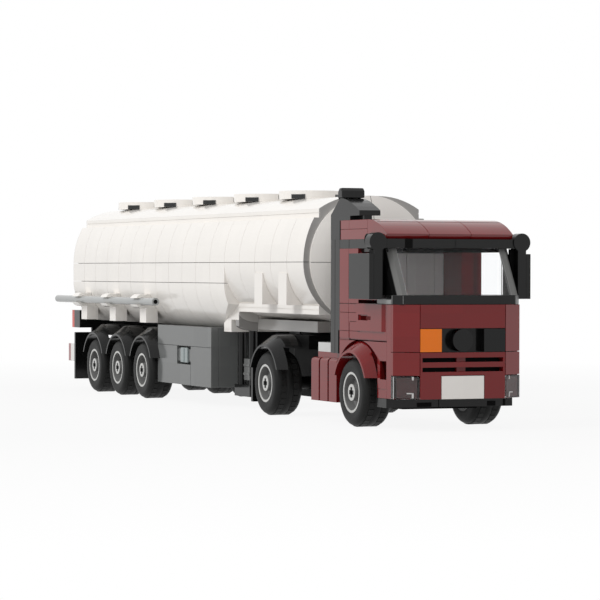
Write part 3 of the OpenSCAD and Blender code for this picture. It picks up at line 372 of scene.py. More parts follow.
def end_tree(tree, copies, material, result):
    """Geometry nodes: ends a tree by turning its copies into plain mesh with a material."""
    real = tree.nodes.new("GeometryNodeRealizeInstances")
    coat = tree.nodes.new("GeometryNodeSetMaterial")
    tree.links.new(copies, real.inputs[0])
    tree.links.new(real.outputs[0], coat.inputs["Geometry"])
    tree.links.new(material, coat.inputs["Material"])
    tree.links.new(coat.outputs[0], result)


def tread_tree():
    """Geometry nodes: lugs round both shoulders of a carcass, then a left and a right tyre on their axle."""
    tree, given, done = new_tree("treaded tyres", "Carcass", (
        ("Lugs", "NodeSocketInt"),
        ("Lug size", "NodeSocketVector"),
        ("Lug radius", "NodeSocketFloat"),
        ("Row offset", "NodeSocketFloat"),
        ("Right place", "NodeSocketVector"),
        ("Left place", "NodeSocketVector"),
        ("Rubber", "NodeSocketMaterial"),
    ), "Tyres")
    link = tree.links.new
    lug = tree.nodes.new("GeometryNodeMeshCube")
    link(given["Lug size"], lug.inputs["Size"])
    row = ring_of(tree, lug.outputs["Mesh"], given["Lugs"], given["Lug radius"])
    tyre = tree.nodes.new("GeometryNodeJoinGeometry")
    link(given["Carcass"], tyre.inputs[0])
    for side in (-1, 1):
        aside = tree.nodes.new("ShaderNodeMath")
        aside.operation = "MULTIPLY"
        aside.inputs[1].default_value = side
        link(given["Row offset"], aside.inputs[0])
        shift = tree.nodes.new("ShaderNodeCombineXYZ")
        link(aside.outputs[0], shift.inputs["Y"])
        stand = tree.nodes.new("GeometryNodeTransform")
        stand.inputs["Rotation"].default_value = (math.pi / 2, side * math.pi / (2 * LUGS), 0)
        link(row, stand.inputs["Geometry"])
        link(shift.outputs[0], stand.inputs["Translation"])
        link(stand.outputs["Geometry"], tyre.inputs[0])
    pair = tree.nodes.new("GeometryNodeJoinGeometry")
    for name in ("Right place", "Left place"):
        put = tree.nodes.new("GeometryNodeTransform")
        link(tyre.outputs[0], put.inputs["Geometry"])
        link(given[name], put.inputs["Translation"])
        link(put.outputs["Geometry"], pair.inputs[0])
    end_tree(tree, pair.outputs[0], given["Rubber"], done[0])
    return tree


def grown(name, mesh, tree, values):
    """Runs a tree of geometry nodes on a mesh and keeps the result as a plain mesh piece."""
    start = bpy.data.objects.new(name + " start", mesh)
    bpy.context.scene.collection.objects.link(start)
    growth = start.modifiers.new("growth", "NODES")
    growth.node_group = tree
    for item in tree.interface.items_tree:
        if item.in_out == "INPUT" and item.name in values:
            growth[item.identifier] = values[item.name]
    bpy.context.view_layer.update()
    ready = start.evaluated_get(bpy.context.evaluated_depsgraph_get())
    result = bpy.data.meshes.new_from_object(ready)
    start.modifiers.remove(growth)
    bpy.data.objects.remove(start)
    piece = bpy.data.objects.new(name, result)
    bpy.context.scene.collection.objects.link(piece)
    return piece


axle_black = moulded("axle black", DEEP_BLACK_AND_SHADE, gloss=0.4, shine=0.1)
tyre_rubber = rubber_material()
tyre_low, tyre_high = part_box("front_tyres")
rim_low, rim_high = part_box("front_rims")
tyre_radius = (tyre_high.z - tyre_low.z) / 2
bead_radius = (rim_high.z - rim_low.z) / 2
tyre_middle = tyre_high.y - TYRE_WIDTH / 2
# Inside the pale lip the rim is dark grey: partly the rim's own grey, partly painted shade in the dish.
rim_plastic = moulded("rim plastic", RIM_DISH_DARK_AND_SHADE, gloss=0.22, tone=0.02)
rim_coat = two_tone(rim_plastic, RIM_PALE, "Y", 0, rim_high.y - RIM_LIP)
rim_face = rim_high.y / MM
tread = tread_tree()
for axle in ("front", "drive", "trailer_1", "trailer_2", "trailer_3"):
    place, _, count = axle.partition("_")
    tail = "_" + count if count else ""
    finish_node(place + "_axle" + tail, axle_black, edge=0)
    finish_node(place + "_rims" + tail, rim_coat, edge=0)
    low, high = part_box(place + "_tyres" + tail)
    middle = (low + high) / 2
    tyres = grown("tyres_" + axle, carcass_mesh(tyre_radius, bead_radius), tread, {
        "Lugs": LUGS,
        "Lug size": (LUG_DEPTH * 2, LUG_LENGTH, LUG_WIDTH),
        "Lug radius": tyre_radius - LUG_DEPTH,
        "Row offset": CROWN + CROWN_SLANT + LUG_WIDTH / 2,
        "Right place": (middle.x, -tyre_middle, middle.z),
        "Left place": (middle.x, tyre_middle, middle.z),
        "Rubber": tyre_rubber,
    })
    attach(tyres, place + "_wheelset" + tail)
    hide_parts(place + "_tyres" + tail)
    ends = bmesh.new()
    hub_s = (FRONT - middle.x) / MM
    hub_z = middle.z / MM
    depth = (rim_face - CROSS_SUNK, rim_face + CROSS_PROUD)
    for half_s, half_z in ((CROSS_LONG, CROSS_WIDE), (CROSS_WIDE, CROSS_LONG)):
        add_pair(ends, (hub_s - half_s, hub_s + half_s), depth, (hub_z - half_z, hub_z + half_z))
    finish_piece("axle_ends_" + axle, ends, axle_black, place + "_wheelset" + tail, CROSS_EDGE)

# Cab front
# Dark red tiles and corner slopes on a red core, with a black board behind the grille, clear lamps,
# an orange warning tile and a blank white number plate, all pushed onto studs.
RED = (0.195, 0.0075, 0.0085)
WHITE = (0.93, 0.896, 0.852)
ORANGE = (0.97, 0.215, 0.009)
LAMP_CLEAR = (0.93, 0.95, 0.96)
LAMP_HIGHLIGHT_PALE = (0.60, 0.58, 0.57)
LAMP_SHADE_RED = (0.06, 0.018, 0.017)
BOARD_FACE = 0.4 * MM
GRILLE_SHADE = ((3, 3.18), (-15.4, 15.4), (19, 26.4))
SCUFFS = 400
LAMP_FOOT = 16.2
LAMP_RUN = 4.8
LAMP_REACH = 7.8
LAMP_RIBS = ((17.95, 18.5, 17.3, 18.45), (17.95, 18.5, 11.2, 12.9), (18.4, 20, 12.6, 13),
             (23.7, 23.95, 10.9, 18.45))
RIB_LIFTS = (0.12, -0.2)
LAMP_SHADE_PLATE = (17, 23.2, 11.3, 18.1)
LAMP_SHADE_LIFTS = (-0.6, -1.1)
LAMP_SHADE_EDGE = 0.1 * MM


def clear_plastic(name, tint, gloss=0.04, index=1.45):
    """Clear polycarbonate with a faint haze of fine scratches."""
    material = bpy.data.materials.new(name)
    material.use_nodes = True
    tree = material.node_tree
    shader = tree.nodes["Principled BSDF"]
    shader.inputs["Base Color"].default_value = (*tint, 1)
    shader.inputs["Transmission Weight"].default_value = 1
    shader.inputs["IOR"].default_value = index
    place = tree.nodes.new("ShaderNodeTexCoord")
    scuff = tree.nodes.new("ShaderNodeTexNoise")
    scuff.inputs["Scale"].default_value = SCUFFS
    scuff.inputs["Detail"].default_value = 5
    haze = tree.nodes.new("ShaderNodeMapRange")
    haze.inputs["To Min"].default_value = gloss - 0.03
    haze.inputs["To Max"].default_value = gloss + 0.05
    for a, b in (
        (place.outputs["Object"], scuff.inputs["Vector"]),
        (scuff.outputs["Fac"], haze.inputs["Value"]),
        (haze.outputs["Result"], shader.inputs["Roughness"]),
    ):
        tree.links.new(a, b)
    return material


def on_lamp(y, lift):
    """A place seen from above on a lamp's slanted face, so far out to the side and lifted off the face."""
    slant = math.hypot(LAMP_RUN, LAMP_REACH)
    s = (abs(y) - LAMP_FOOT) * LAMP_RUN / LAMP_REACH
    out = abs(y) + lift * LAMP_RUN / slant
    return s - lift * LAMP_REACH / slant, math.copysign(out, y)


def add_on_lamps(shape, place, lifts):
    """Adds a plate along both lamps' faces, from its two sides, its two heights and its two lifts."""
    near, far, low, high = place
    for side in (-1, 1):
        plan = [on_lamp(side * near, lifts[0]), on_lamp(side * far, lifts[0]),
                on_lamp(side * far, lifts[1]), on_lamp(side * near, lifts[1])]
        add_prism(shape, plan, (low, high))


red = moulded("dark red brick", RED, gloss=0.08, shine=0.36)
white = moulded("white brick", WHITE, tone=0.012)
for node in ("cab_core", "cab_front_panel", "corner_slopes"):
    finish_node(node, red)
# Painted shade: behind its front face the nose board is a deeper black, for the shade in the grille's slots.
board_shade_black = moulded("nose board", DEEP_BLACK_AND_SHADE, tone=0.1, shine=0.24)
finish_node("nose_board", two_tone(board_shade_black, BLACK, "X", 0, FRONT - BOARD_FACE), edge=0)
finish_node("hazard_plate", moulded("orange tile", ORANGE))
finish_node("number_plate", white)
grille_shade = bmesh.new()
add_block(grille_shade, *GRILLE_SHADE)
finish_piece("grille_shade", grille_shade, painted_shade_black, "tractor", FINE_EDGE)

finish_node("headlamps", clear_plastic("clear lamp", LAMP_CLEAR))
# Painted highlight: pale strips on the lamps' slanted faces stand for the bright glints in the clear lamps.
lamp_ribs = bmesh.new()
for rib in LAMP_RIBS:
    add_on_lamps(lamp_ribs, rib, RIB_LIFTS)
lamp_highlight_pale = moulded("lamp rib highlight", LAMP_HIGHLIGHT_PALE, tone=0.02)
finish_piece("lamp_ribs", lamp_ribs, lamp_highlight_pale, "tractor", FINE_EDGE)
# Painted shade: a dark brownish plate inside each clear lamp, for the dark depth seen through it.
lamp_shade_shape = bmesh.new()
add_on_lamps(lamp_shade_shape, LAMP_SHADE_PLATE, LAMP_SHADE_LIFTS)
lamp_shade_red = moulded("lamp inside shade", LAMP_SHADE_RED, tone=0.1)
finish_piece("lamp_shade_plates", lamp_shade_shape, lamp_shade_red, "tractor", LAMP_SHADE_EDGE)

# Cab body
# Hollow box of red bricks with raised doors, black sill and header, clear panes, and a roof of three
# curved slopes. The back wall is black with a lining painted pale as the light that falls on it inside, and
# fine joints show in the walls and the roof. The panes' thick corners, the gaps and the handle slots carry
# painted shade.
GREY = (0.155, 0.16, 0.158)
PANE = (0.985, 0.99, 0.995)
CORNER_SHADE_GREY = (0.195, 0.195, 0.19)
LINING_PAINTED_LIGHT = (0.95, 0.915, 0.89)
LINING_PAINTED_HIGHLIGHT = (0.97, 0.94, 0.91)
JOINT_AND_SHADE_RED = (0.045, 0.003, 0.003)
GAP_SHADOW_RED = (0.008, 0.001, 0.001)
SLOT_HALF_SHADE_RED = (0.09, 0.005, 0.005)
FOOT_GREY = (0.25, 0.255, 0.25)
PANE_INDEX = 1.03
CLEAR_SHARE = 0.98
SHADED_CLEAR_SHARE = 0.03
SHADED_CORNER_SIDE = 19.6 * MM
SHADED_CORNER_REAR = 15.5 * MM
SHADED_CORNER_BLUR = 0.3 * MM
DARK_SIDE = 22.7 * MM
LINING_S = (48.9, 49.95)
LINING_SIDES = (-15.9, 15.9)
LINING_TOP = 60.5
LINING_RIB_S = (48.3, 48.95)
LINING_RIBS = ((1.4, 4.75), (12.3, 15.9))
FLOOR_GAP = 0.05
HEADER_SHADE_MARKS = (((9.85, 10.3), (-17.2, -14.35), (62.05, 65.15)), ((9.95, 10.3), (1.8, 2), (62.05, 65.15)),
                ((13.3, 14.6), (-15.9, 15.6), (60.6, 61.95)))
HEADER_SIDE_SHADE_MARKS = (((41.75, 41.95), (23.8, 24.05), (62.05, 65.15)),
                     ((49.2, 49.98), (23.8, 24.08), (65.25, 71.9)))
HEADER_LIP = ((12.2, 34), (21.6, 22.8), (60.7, 62.1))
DOOR_EDGE = ((12.45, 24), (12.45, 24.82), (11.2, 24.02))
DOOR_EDGE_Z = (33.45, 42.75)
DOOR_EDGE_ROUNDING = 0.03 * MM
SLOPE_LIP = 1.7
SLOPE_UNDERCUT = 0.9
SLOPE_LONG = 16
SLOPE_STEPS = 16
SLOPE_SEAM = 0.12
SLOPE_SPLIT = (7.92, 8.08)
SMALL_EDGE = 0.05 * MM
ROOF_COURSE = (68.76, 68.84)
ROOF_SPLIT = (41.88, 41.97)
CORE_START = 9
CORE_INSET = 0.4
CORE_Z = (66, 71.2)
WALL_SKIN = (23.8, 24.04)
LEVEL_JOINTS = ((34, 49.5, 42.8), (35, 49.5, 39.65), (32.2, 49.5, 33.2), (41.4, 49.4, 30),
                (35.7, 41.1, 36.5))
LEVEL_JOINT_HALF = 0.08
UPRIGHT_JOINTS = ((33.9, 33.4, 42.7), (41.4, 30.2, 36.4))
UPRIGHT_JOINT_HALF = 0.09
WALL_GAPS = (((9.9, 41.4), (29.95, 30.3)), ((18.1, 33.6), (42.95, 44.2)))
HANDLE = ((25.4, 29.95), (23.9, 24.84), (37.2, 38.7))
GRIP = ((21.55, 25.35), (23.9, 24.83), (37.3, 38.6))
SILL_CORNER = ((5.7, 24.15), (2.55, 21.2), (3.4, 20.9), (6.4, 23.7))
SILL_CORNER_Z = (42.95, 45.95)
SILL_SIDE = ((6.2, 17.6), (23.8, 24.2), (42.95, 44.5))


def add_across(shape, profile, y):
    """Adds a prism that lies across the lorry, from its corners seen from the side and its two sides."""
    add_walls(shape, *[[shape.verts.new(spot(s, side, z)) for s, z in profile] for side in y])


def shaded_pane_corners(material, tint):
    """Paints shade into a clear pane at its thick front corners, grey and less clear there, and dark at
    their outermost edge.
    """
    tree = material.node_tree
    shader = tree.nodes["Principled BSDF"]
    place = next(n for n in tree.nodes if n.bl_idname == "ShaderNodeTexCoord")
    split = tree.nodes.new("ShaderNodeSeparateXYZ")
    size = tree.nodes.new("ShaderNodeMath")
    size.operation = "ABSOLUTE"
    shaded_band, ahead_of, edge = [tree.nodes.new("ShaderNodeMapRange") for _ in range(3)]
    for step, start in ((shaded_band, SHADED_CORNER_SIDE), (ahead_of, FRONT - SHADED_CORNER_REAR), (edge, DARK_SIDE)):
        step.inputs["From Min"].default_value = start
        step.inputs["From Max"].default_value = start + SHADED_CORNER_BLUR
    corner = tree.nodes.new("ShaderNodeMath")
    corner.operation = "MULTIPLY"
    clear = tree.nodes.new("ShaderNodeMapRange")
    clear.inputs["To Min"].default_value = CLEAR_SHARE
    clear.inputs["To Max"].default_value = SHADED_CLEAR_SHARE
    shade, mix = [tree.nodes.new("ShaderNodeMix") for _ in range(2)]
    shade.data_type = "RGBA"
    shade.inputs["A"].default_value = (*CORNER_SHADE_GREY, 1)
    shade.inputs["B"].default_value = (*DEEP_BLACK_AND_SHADE, 1)
    mix.data_type = "RGBA"
    mix.inputs["A"].default_value = (*tint, 1)
    for a, b in (
        (place.outputs["Object"], split.inputs[0]),
        (split.outputs["Y"], size.inputs[0]),
        (size.outputs[0], shaded_band.inputs["Value"]),
        (size.outputs[0], edge.inputs["Value"]),
        (split.outputs["X"], ahead_of.inputs["Value"]),
        (shaded_band.outputs["Result"], corner.inputs[0]),
        (ahead_of.outputs["Result"], corner.inputs[1]),
        (corner.outputs[0], clear.inputs["Value"]),
        (clear.outputs["Result"], shader.inputs["Transmission Weight"]),
        (edge.outputs["Result"], shade.inputs["Factor"]),
        (shade.outputs["Result"], mix.inputs["B"]),
        (corner.outputs[0], mix.inputs["Factor"]),
        (mix.outputs["Result"], shader.inputs["Base Color"]),
    ):
        tree.links.new(a, b)
    return material


grey = moulded("dark grey brick", GREY)
# A dark red for the joints, and also painted shade in the handle slots and behind the arches.
joint_and_shade_red = moulded("joint and shade red", JOINT_AND_SHADE_RED, gloss=0.8, shine=0)
finish_node("door_panels", red)
finish_node("cab_sides", red, edge=0)
finish_node("cab_floor", grey)
for node in ("windscreen_sill", "window_header", "cab_back_wall"):
    finish_node(node, black)
finish_node("side_windows", clear_plastic("clear pane", PANE, index=PANE_INDEX), edge=0)
# Painted shade: the windscreen's thick front corners are grey, and dark at their edge.
screen = shaded_pane_corners(clear_plastic("clear screen", PANE, index=PANE_INDEX), PANE)
finish_node("windscreen", screen, edge=0)

# Painted light: the lining on the back wall's inside is near white, for the light that falls through the
# panes, with paler bands as painted highlight.
lining_z = (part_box("cab_floor")[1].z / MM + FLOOR_GAP, LINING_TOP)
lining = bmesh.new()
add_block(lining, LINING_S, LINING_SIDES, lining_z)
finish_piece("cab_lining", lining, moulded("lining painted light", LINING_PAINTED_LIGHT), "tractor")
lining_ribs = bmesh.new()
for sides in LINING_RIBS:
    add_pair(lining_ribs, LINING_RIB_S, sides, lining_z)
finish_piece("lining_ribs", lining_ribs, moulded("lining painted highlight", LINING_PAINTED_HIGHLIGHT), "tractor")

# Painted shade: near-black blocks in the header's notches and joints and under its front edge.
header_shade_marks = bmesh.new()
for mark in HEADER_SHADE_MARKS:
    add_block(header_shade_marks, *mark)
for mark in HEADER_SIDE_SHADE_MARKS:
    add_pair(header_shade_marks, *mark)
finish_piece("header_recesses", header_shade_marks, painted_shade_black, "tractor", FINE_EDGE)
header_lips = bmesh.new()
add_pair(header_lips, *HEADER_LIP)
finish_piece("header_lips", header_lips, black, "tractor")
door_edges = bmesh.new()
for side in (-1, 1):
    add_prism(door_edges, [(s, side * y) for s, y in DOOR_EDGE], DOOR_EDGE_Z)
finish_piece("door_edges", door_edges, red, "tractor", DOOR_EDGE_ROUNDING)

roof_low, roof_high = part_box("cab_roof")
roof_base = roof_low.z / MM
roof_top = roof_high.z / MM
roof_front = (FRONT - roof_high.x) / MM
roof_rear = (FRONT - roof_low.x) / MM
roof_half = roof_high.y / MM
roof_sides = (-roof_half, roof_half)
rise = roof_top - roof_base - SLOPE_LIP
slope_radius = (SLOPE_LONG ** 2 + rise ** 2) / (2 * rise)
slope_end = roof_front + SLOPE_LONG
curve = [(roof_front + SLOPE_UNDERCUT, roof_base), (roof_front, roof_base + SLOPE_LIP)]
for i in range(1, SLOPE_STEPS + 1):
    back = roof_front + SLOPE_LONG * i / SLOPE_STEPS
    curve.append((back, roof_top - slope_radius + math.sqrt(slope_radius ** 2 - (slope_end - back) ** 2)))
curve.append((slope_end, roof_base))
inner, outer = SLOPE_SPLIT
roof = bmesh.new()
for sides in ((-roof_half, -outer), (-inner, inner), (outer, roof_half)):
    add_across(roof, curve, sides)
add_block(roof, (slope_end + SLOPE_SEAM, roof_rear), roof_sides, (roof_base, ROOF_COURSE[0]))
for stations in ((slope_end + SLOPE_SEAM, ROOF_SPLIT[0]), (ROOF_SPLIT[1], roof_rear)):
    add_block(roof, stations, roof_sides, (ROOF_COURSE[1], roof_top))
roof_red = moulded("roof red", RED, gloss=0.06, shine=0.6)
roof_piece = finish_piece("roof_slopes", roof, roof_red, "tractor", SMALL_EDGE)
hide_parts("cab_roof")
roof_core = bmesh.new()
add_block(roof_core, (roof_front + CORE_START, roof_rear - CORE_INSET),
          (-roof_half + CORE_INSET, roof_half - CORE_INSET), CORE_Z)
finish_piece("roof_core", roof_core, joint_and_shade_red, "tractor")

wall_joints = bmesh.new()
for front, rear, z in LEVEL_JOINTS:
    add_pair(wall_joints, (front, rear), WALL_SKIN, (z - LEVEL_JOINT_HALF, z + LEVEL_JOINT_HALF))
for s, low, high in UPRIGHT_JOINTS:
    add_pair(wall_joints, (s - UPRIGHT_JOINT_HALF, s + UPRIGHT_JOINT_HALF), WALL_SKIN, (low, high))
finish_piece("wall_joints", wall_joints, joint_and_shade_red, "tractor", 0)
# Painted shadow: the wing line and the strip under each window are near black, for the shadow in these gaps.
wall_gaps = bmesh.new()
for stations, heights in WALL_GAPS:
    add_pair(wall_gaps, stations, WALL_SKIN, heights)
gap_shadow_red = moulded("gap shadow red", GAP_SHADOW_RED, gloss=0.8, shine=0)
finish_piece("wall_gaps", wall_gaps, gap_shadow_red, "tractor", 0)
# Painted shade: the handle slot is filled with dark red, darkest in its rear half and less dark in its front
# half.
handles = bmesh.new()
add_pair(handles, *HANDLE)
finish_piece("door_handles", handles, joint_and_shade_red, "tractor", SMALL_EDGE)
grips = bmesh.new()
add_pair(grips, *GRIP)
slot_half_shade_red = moulded("slot half shade red", SLOT_HALF_SHADE_RED, gloss=0.6, shine=0.1)
finish_piece("door_grips", grips, slot_half_shade_red, "tractor", SMALL_EDGE)

sill_ends = bmesh.new()
for side in (-1, 1):
    add_prism(sill_ends, [(s, side * y) for s, y in SILL_CORNER], SILL_CORNER_Z)
add_pair(sill_ends, *SILL_SIDE)
finish_piece("sill_ends", sill_ends, moulded("clear foot", FOOT_GREY), "tractor")

# Mirrors and air intake
# Black bricks again: an upright arm with a round end and a square mirror on each side, an open clip behind
# each arm, and the stepped intake with its cap behind the roof, on the right only.
CAP_EDGE = 0.5 * MM
MIRROR_CLIP_S = 19.6
MIRROR_CLIP_Z = 64.8
MIRROR_CLIP_RADII = (2.2, 1.5)
MIRROR_CLIP_SIDES = (24.02, 27.2)
MIRROR_CLIP_START = 270
MIRROR_CLIP_SWEEP = 280
MIRROR_CLIP_STEPS = 20
ARM_SHADES = (((9.8, 13.55), (25.76, 25.85), (45, 61.9)), ((9.8, 13.55), (28.9, 28.99), (45, 61.9)),
              ((12.4, 13.5), (24.05, 25.9), (46.2, 61.9)))
ARM_SHADE_EDGE = 0.03 * MM
finish_node("mirror_heads", black)
for node in ("air_intake", "mirror_arms"):
    finish_node(node, black, edge=0)
finish_node("intake_cap", black, edge=CAP_EDGE)
turns = [math.radians(MIRROR_CLIP_START + MIRROR_CLIP_SWEEP * i / MIRROR_CLIP_STEPS)
         for i in range(MIRROR_CLIP_STEPS + 1)]
# Painted shade: the clips take a deeper black than the arms, for the shade behind each arm.
clips = bmesh.new()
for side in (-1, 1):
    rows = []
    for out in MIRROR_CLIP_SIDES:
        for radius in MIRROR_CLIP_RADII:
            ring = [(radius * math.cos(t), radius * math.sin(t)) for t in turns]
            rows.append([clips.verts.new(spot(MIRROR_CLIP_S + back, side * out, MIRROR_CLIP_Z + up))
                         for back, up in ring])
    for i in range(MIRROR_CLIP_STEPS):
        for one, two in ((0, 1), (1, 3), (3, 2), (2, 0)):
            clips.faces.new((rows[one][i], rows[one][i + 1], rows[two][i + 1], rows[two][i]))
    for i in (0, -1):
        clips.faces.new((rows[0][i], rows[1][i], rows[3][i], rows[2][i]))
finish_piece("mirror_clips", clips, painted_shade_black, "tractor")
arm_sides = bmesh.new()
for shaded in ARM_SHADES:
    add_pair(arm_sides, *shaded)
finish_piece("arm_sides", arm_sides, painted_shade_black, "tractor", ARM_SHADE_EDGE)

# Arches, side tanks and mudguards
# Red arches and ribbed side tanks under the cab, a pale step block on each tank, and black mudguards.
# They are moulded bricks pushed onto the frames, and a liner closes the front of each arch, painted dark red
# for the shade behind the arch.
STEP_PALE = (0.62, 0.62, 0.61)
LINER_INNER = 14.4
LINER_OUTER = 21
LINER_SIDES = (22.4, 23.4)
LINER_SWEEP = 75
LINER_STEPS = 12
for node in ("front_arches", "side_tanks"):
    finish_node(node, red, edge=0)
finish_node("tank_steps", moulded("step block", STEP_PALE))
for node in ("drive_mudguards", "trailer_mudguards"):
    finish_node(node, black, edge=0)
axle_low, axle_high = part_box("front_axle")
axle_s = (FRONT - (axle_low.x + axle_high.x) / 2) / MM
axle_z = (axle_low.z + axle_high.z) / 2 / MM
turns = [math.radians(90 + LINER_SWEEP * i / LINER_STEPS) for i in range(LINER_STEPS + 1)]
arc = [(axle_s + LINER_OUTER * math.cos(t), axle_z + LINER_OUTER * math.sin(t)) for t in turns]
arc += [(axle_s + LINER_INNER * math.cos(t), axle_z + LINER_INNER * math.sin(t)) for t in reversed(turns)]
# Painted shade: the liners are dark red, for the shaded wall behind each arch.
liners = bmesh.new()
for side in (-1, 1):
    add_across(liners, arc, [side * y for y in LINER_SIDES])
finish_piece("arch_liners", liners, joint_and_shade_red, "tractor")

# Tank
# White curved bricks in courses round a flat roof strip, closed by shallow domes in end rings painted grey
# as shade, on a stepped saddle whose curved fronts are painted grey as shade. The domes are each four
# mouldings with a joint between them.
END_SHADE_GREY = (0.46, 0.45, 0.435)
JOINT_GREY = (0.12, 0.118, 0.112)
PLATE_SHADE_WHITE = (0.40, 0.39, 0.375)
BOW_SHADE_GREY = (0.50, 0.485, 0.465)
KEEL_SHADE_GREY = (0.30, 0.29, 0.28)
RING_DEPTH = 0.2 * MM
SADDLE_INSET = 6.2
BOW_GAP = 0.05
BOW_INNER = 11.8
BOW_TOP = 37.8
BOW_BACK = 3.4
BOW_STEPS = 12
BOWS = (("saddle_bows", BOW_SHADE_GREY, 0.5, 37.6, 33.9), ("saddle_keels", KEEL_SHADE_GREY, 0.15, 32.9, 30.45))
DOME_RINGS = 20
DOME_STEPS = 96
DOME_EDGE = 0.8 * MM
BELT = 57.3 * MM
JOINT_HALF = 0.1 * MM
JOINT_PROUD = 0.03 * MM
JOINT_SUNK = -0.3 * MM
JOINT_STEPS = 40
JOINT_REACH = 0.995


def add_along(shape, outline, s):
    """Adds a prism that lies along the lorry, from its corners seen from the front and its two stations."""
    add_walls(shape, *[[shape.verts.new(spot(station, y, z)) for y, z in outline] for station in s])


upper_low, upper_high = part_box("tank_upper")
tank_middle = (upper_low.x + upper_high.x) / 2
tank_half = (upper_high.x - upper_low.x) / 2
# Painted shade: the tank's end faces round the domes are grey.
tank_plastic = moulded("tank white", WHITE, tone=0.012)
tank_white_shaded_ends = two_tone(tank_plastic, END_SHADE_GREY, "X", tank_middle, tank_half - RING_DEPTH)
for node in ("tank_saddle", "hose_brackets", "hatches"):
    finish_node(node, white, edge=0)
# Painted shade: the white plate over the kingpin is grey, for the shade under the tank.
finish_node("kingpin_plate", moulded("plate white painted shade", PLATE_SHADE_WHITE, tone=0.012), edge=0)
for node in ("tank_upper", "tank_strip", "tank_belly_front", "tank_side_panels", "tank_belly_rear"):
    finish_node(node, tank_white_shaded_ends, edge=0)

bow_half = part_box("tank_saddle")[1].y / MM - SADDLE_INSET - BOW_GAP
bow_front = (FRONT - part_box("kingpin_plate")[0].x) / MM
# Painted shade: the saddle's curved fronts are grey, darker on the lower keels.
for name, colour, proud, outer, inner in BOWS:
    bows = bmesh.new()
    for side in (-1, 1):
        outline = [(side * BOW_INNER, BOW_TOP), (side * bow_half, BOW_TOP)]
        for i in range(BOW_STEPS + 1):
            turn = math.pi / 2 * i / BOW_STEPS
            reach = BOW_INNER + (bow_half - BOW_INNER) * math.cos(turn)
            outline.append((side * reach, outer - (outer - inner) * math.sin(turn)))
        add_along(bows, outline, (bow_front - proud, bow_front + BOW_BACK))
    bow_shade_plastic = moulded(name.replace("_", " "), colour, tone=0.012)
    finish_piece(name, bows, bow_shade_plastic, "trailer", FINE_EDGE)

cap_low, cap_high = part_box("tank_caps")
dome_middle = (cap_low.z + cap_high.z) / 2
dome_radius = (cap_high.z - cap_low.z) / 2
dome_depth = cap_high.x - upper_high.x


def dome_x(end, radius, lift):
    """The place along the lorry of a dome's skin at one end of the tank, lifted off it by a little."""
    height = DOME_EDGE + (dome_depth - DOME_EDGE) * (1 - (radius / dome_radius) ** 2)
    return tank_middle + end * (tank_half + height + lift)


def add_dome_ring(shape, x, radius):
    """Adds the corners of one ring of a dome to a shape."""
    turns = [2 * math.pi * i / DOME_STEPS for i in range(DOME_STEPS)]
    return [shape.verts.new((x, radius * math.cos(t), dome_middle + radius * math.sin(t))) for t in turns]


domes = bmesh.new()
for end in (-1, 1):
    rings = [add_dome_ring(domes, tank_middle + end * tank_half, dome_radius)]
    domes.faces.new(rings[0])
    for ring in range(DOME_RINGS):
        radius = dome_radius * (1 - ring / DOME_RINGS)
        rings.append(add_dome_ring(domes, dome_x(end, radius, 0), radius))
    top = domes.verts.new((dome_x(end, 0, 0), 0, dome_middle))
    for a, b in zip(rings, rings[1:]):
        for i in range(DOME_STEPS):
            k = (i + 1) % DOME_STEPS
            domes.faces.new((a[i], a[k], b[k], b[i]))
    for i in range(DOME_STEPS):
        domes.faces.new((rings[-1][i], rings[-1][(i + 1) % DOME_STEPS], top))
dome_piece = finish_piece("tank_domes", domes, white, "trailer", 0)
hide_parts("tank_caps")

dome_joints = bmesh.new()
for end in (-1, 1):
    for upright in (False, True):
        rows = []
        for i in range(JOINT_STEPS + 1):
            along = dome_radius * (2 * i / JOINT_STEPS - 1) * JOINT_REACH
            row = []
            for aside, lift in ((-JOINT_HALF, JOINT_PROUD), (JOINT_HALF, JOINT_PROUD),
                                (JOINT_HALF, JOINT_SUNK), (-JOINT_HALF, JOINT_SUNK)):
                y, z = (aside, along) if upright else (along, BELT - dome_middle + aside)
                radius = min(math.hypot(y, z), dome_radius)
                row.append(dome_joints.verts.new((dome_x(end, radius, lift), y, dome_middle + z)))
            rows.append(row)
        for a, b in zip(rows, rows[1:]):
            for i in range(len(a)):
                k = (i + 1) % len(a)
                dome_joints.faces.new((a[i], a[k], b[k], b[i]))
        dome_joints.faces.new(rows[0])
        dome_joints.faces.new(rows[-1])
joint_grey = moulded("joint grey", JOINT_GREY, shine=0.1)
finish_piece("dome_joints", dome_joints, joint_grey, "trailer", 0)

# Hatch clips
# Each of the five round hatches has four clips set into its rim, each a plate with a raised bar, near black
# as painted shade in the rim's notches. They sit at an eighth of a turn and every quarter turn from there.
CLIP_SHADE_GREY = (0.035, 0.036, 0.036)
CLIP_PLATE = (0.7, 5.6, 1.7)
CLIP_PLATE_SHIFT = (-0.25, 0, 0)
CLIP_BAR = (0.5, 3.4, 0.5)
CLIP_BAR_SHIFT = (0, 0, 0.2)
CLIP_GAP = 0.05 * MM
CLIPS = 4
HATCHES = 5


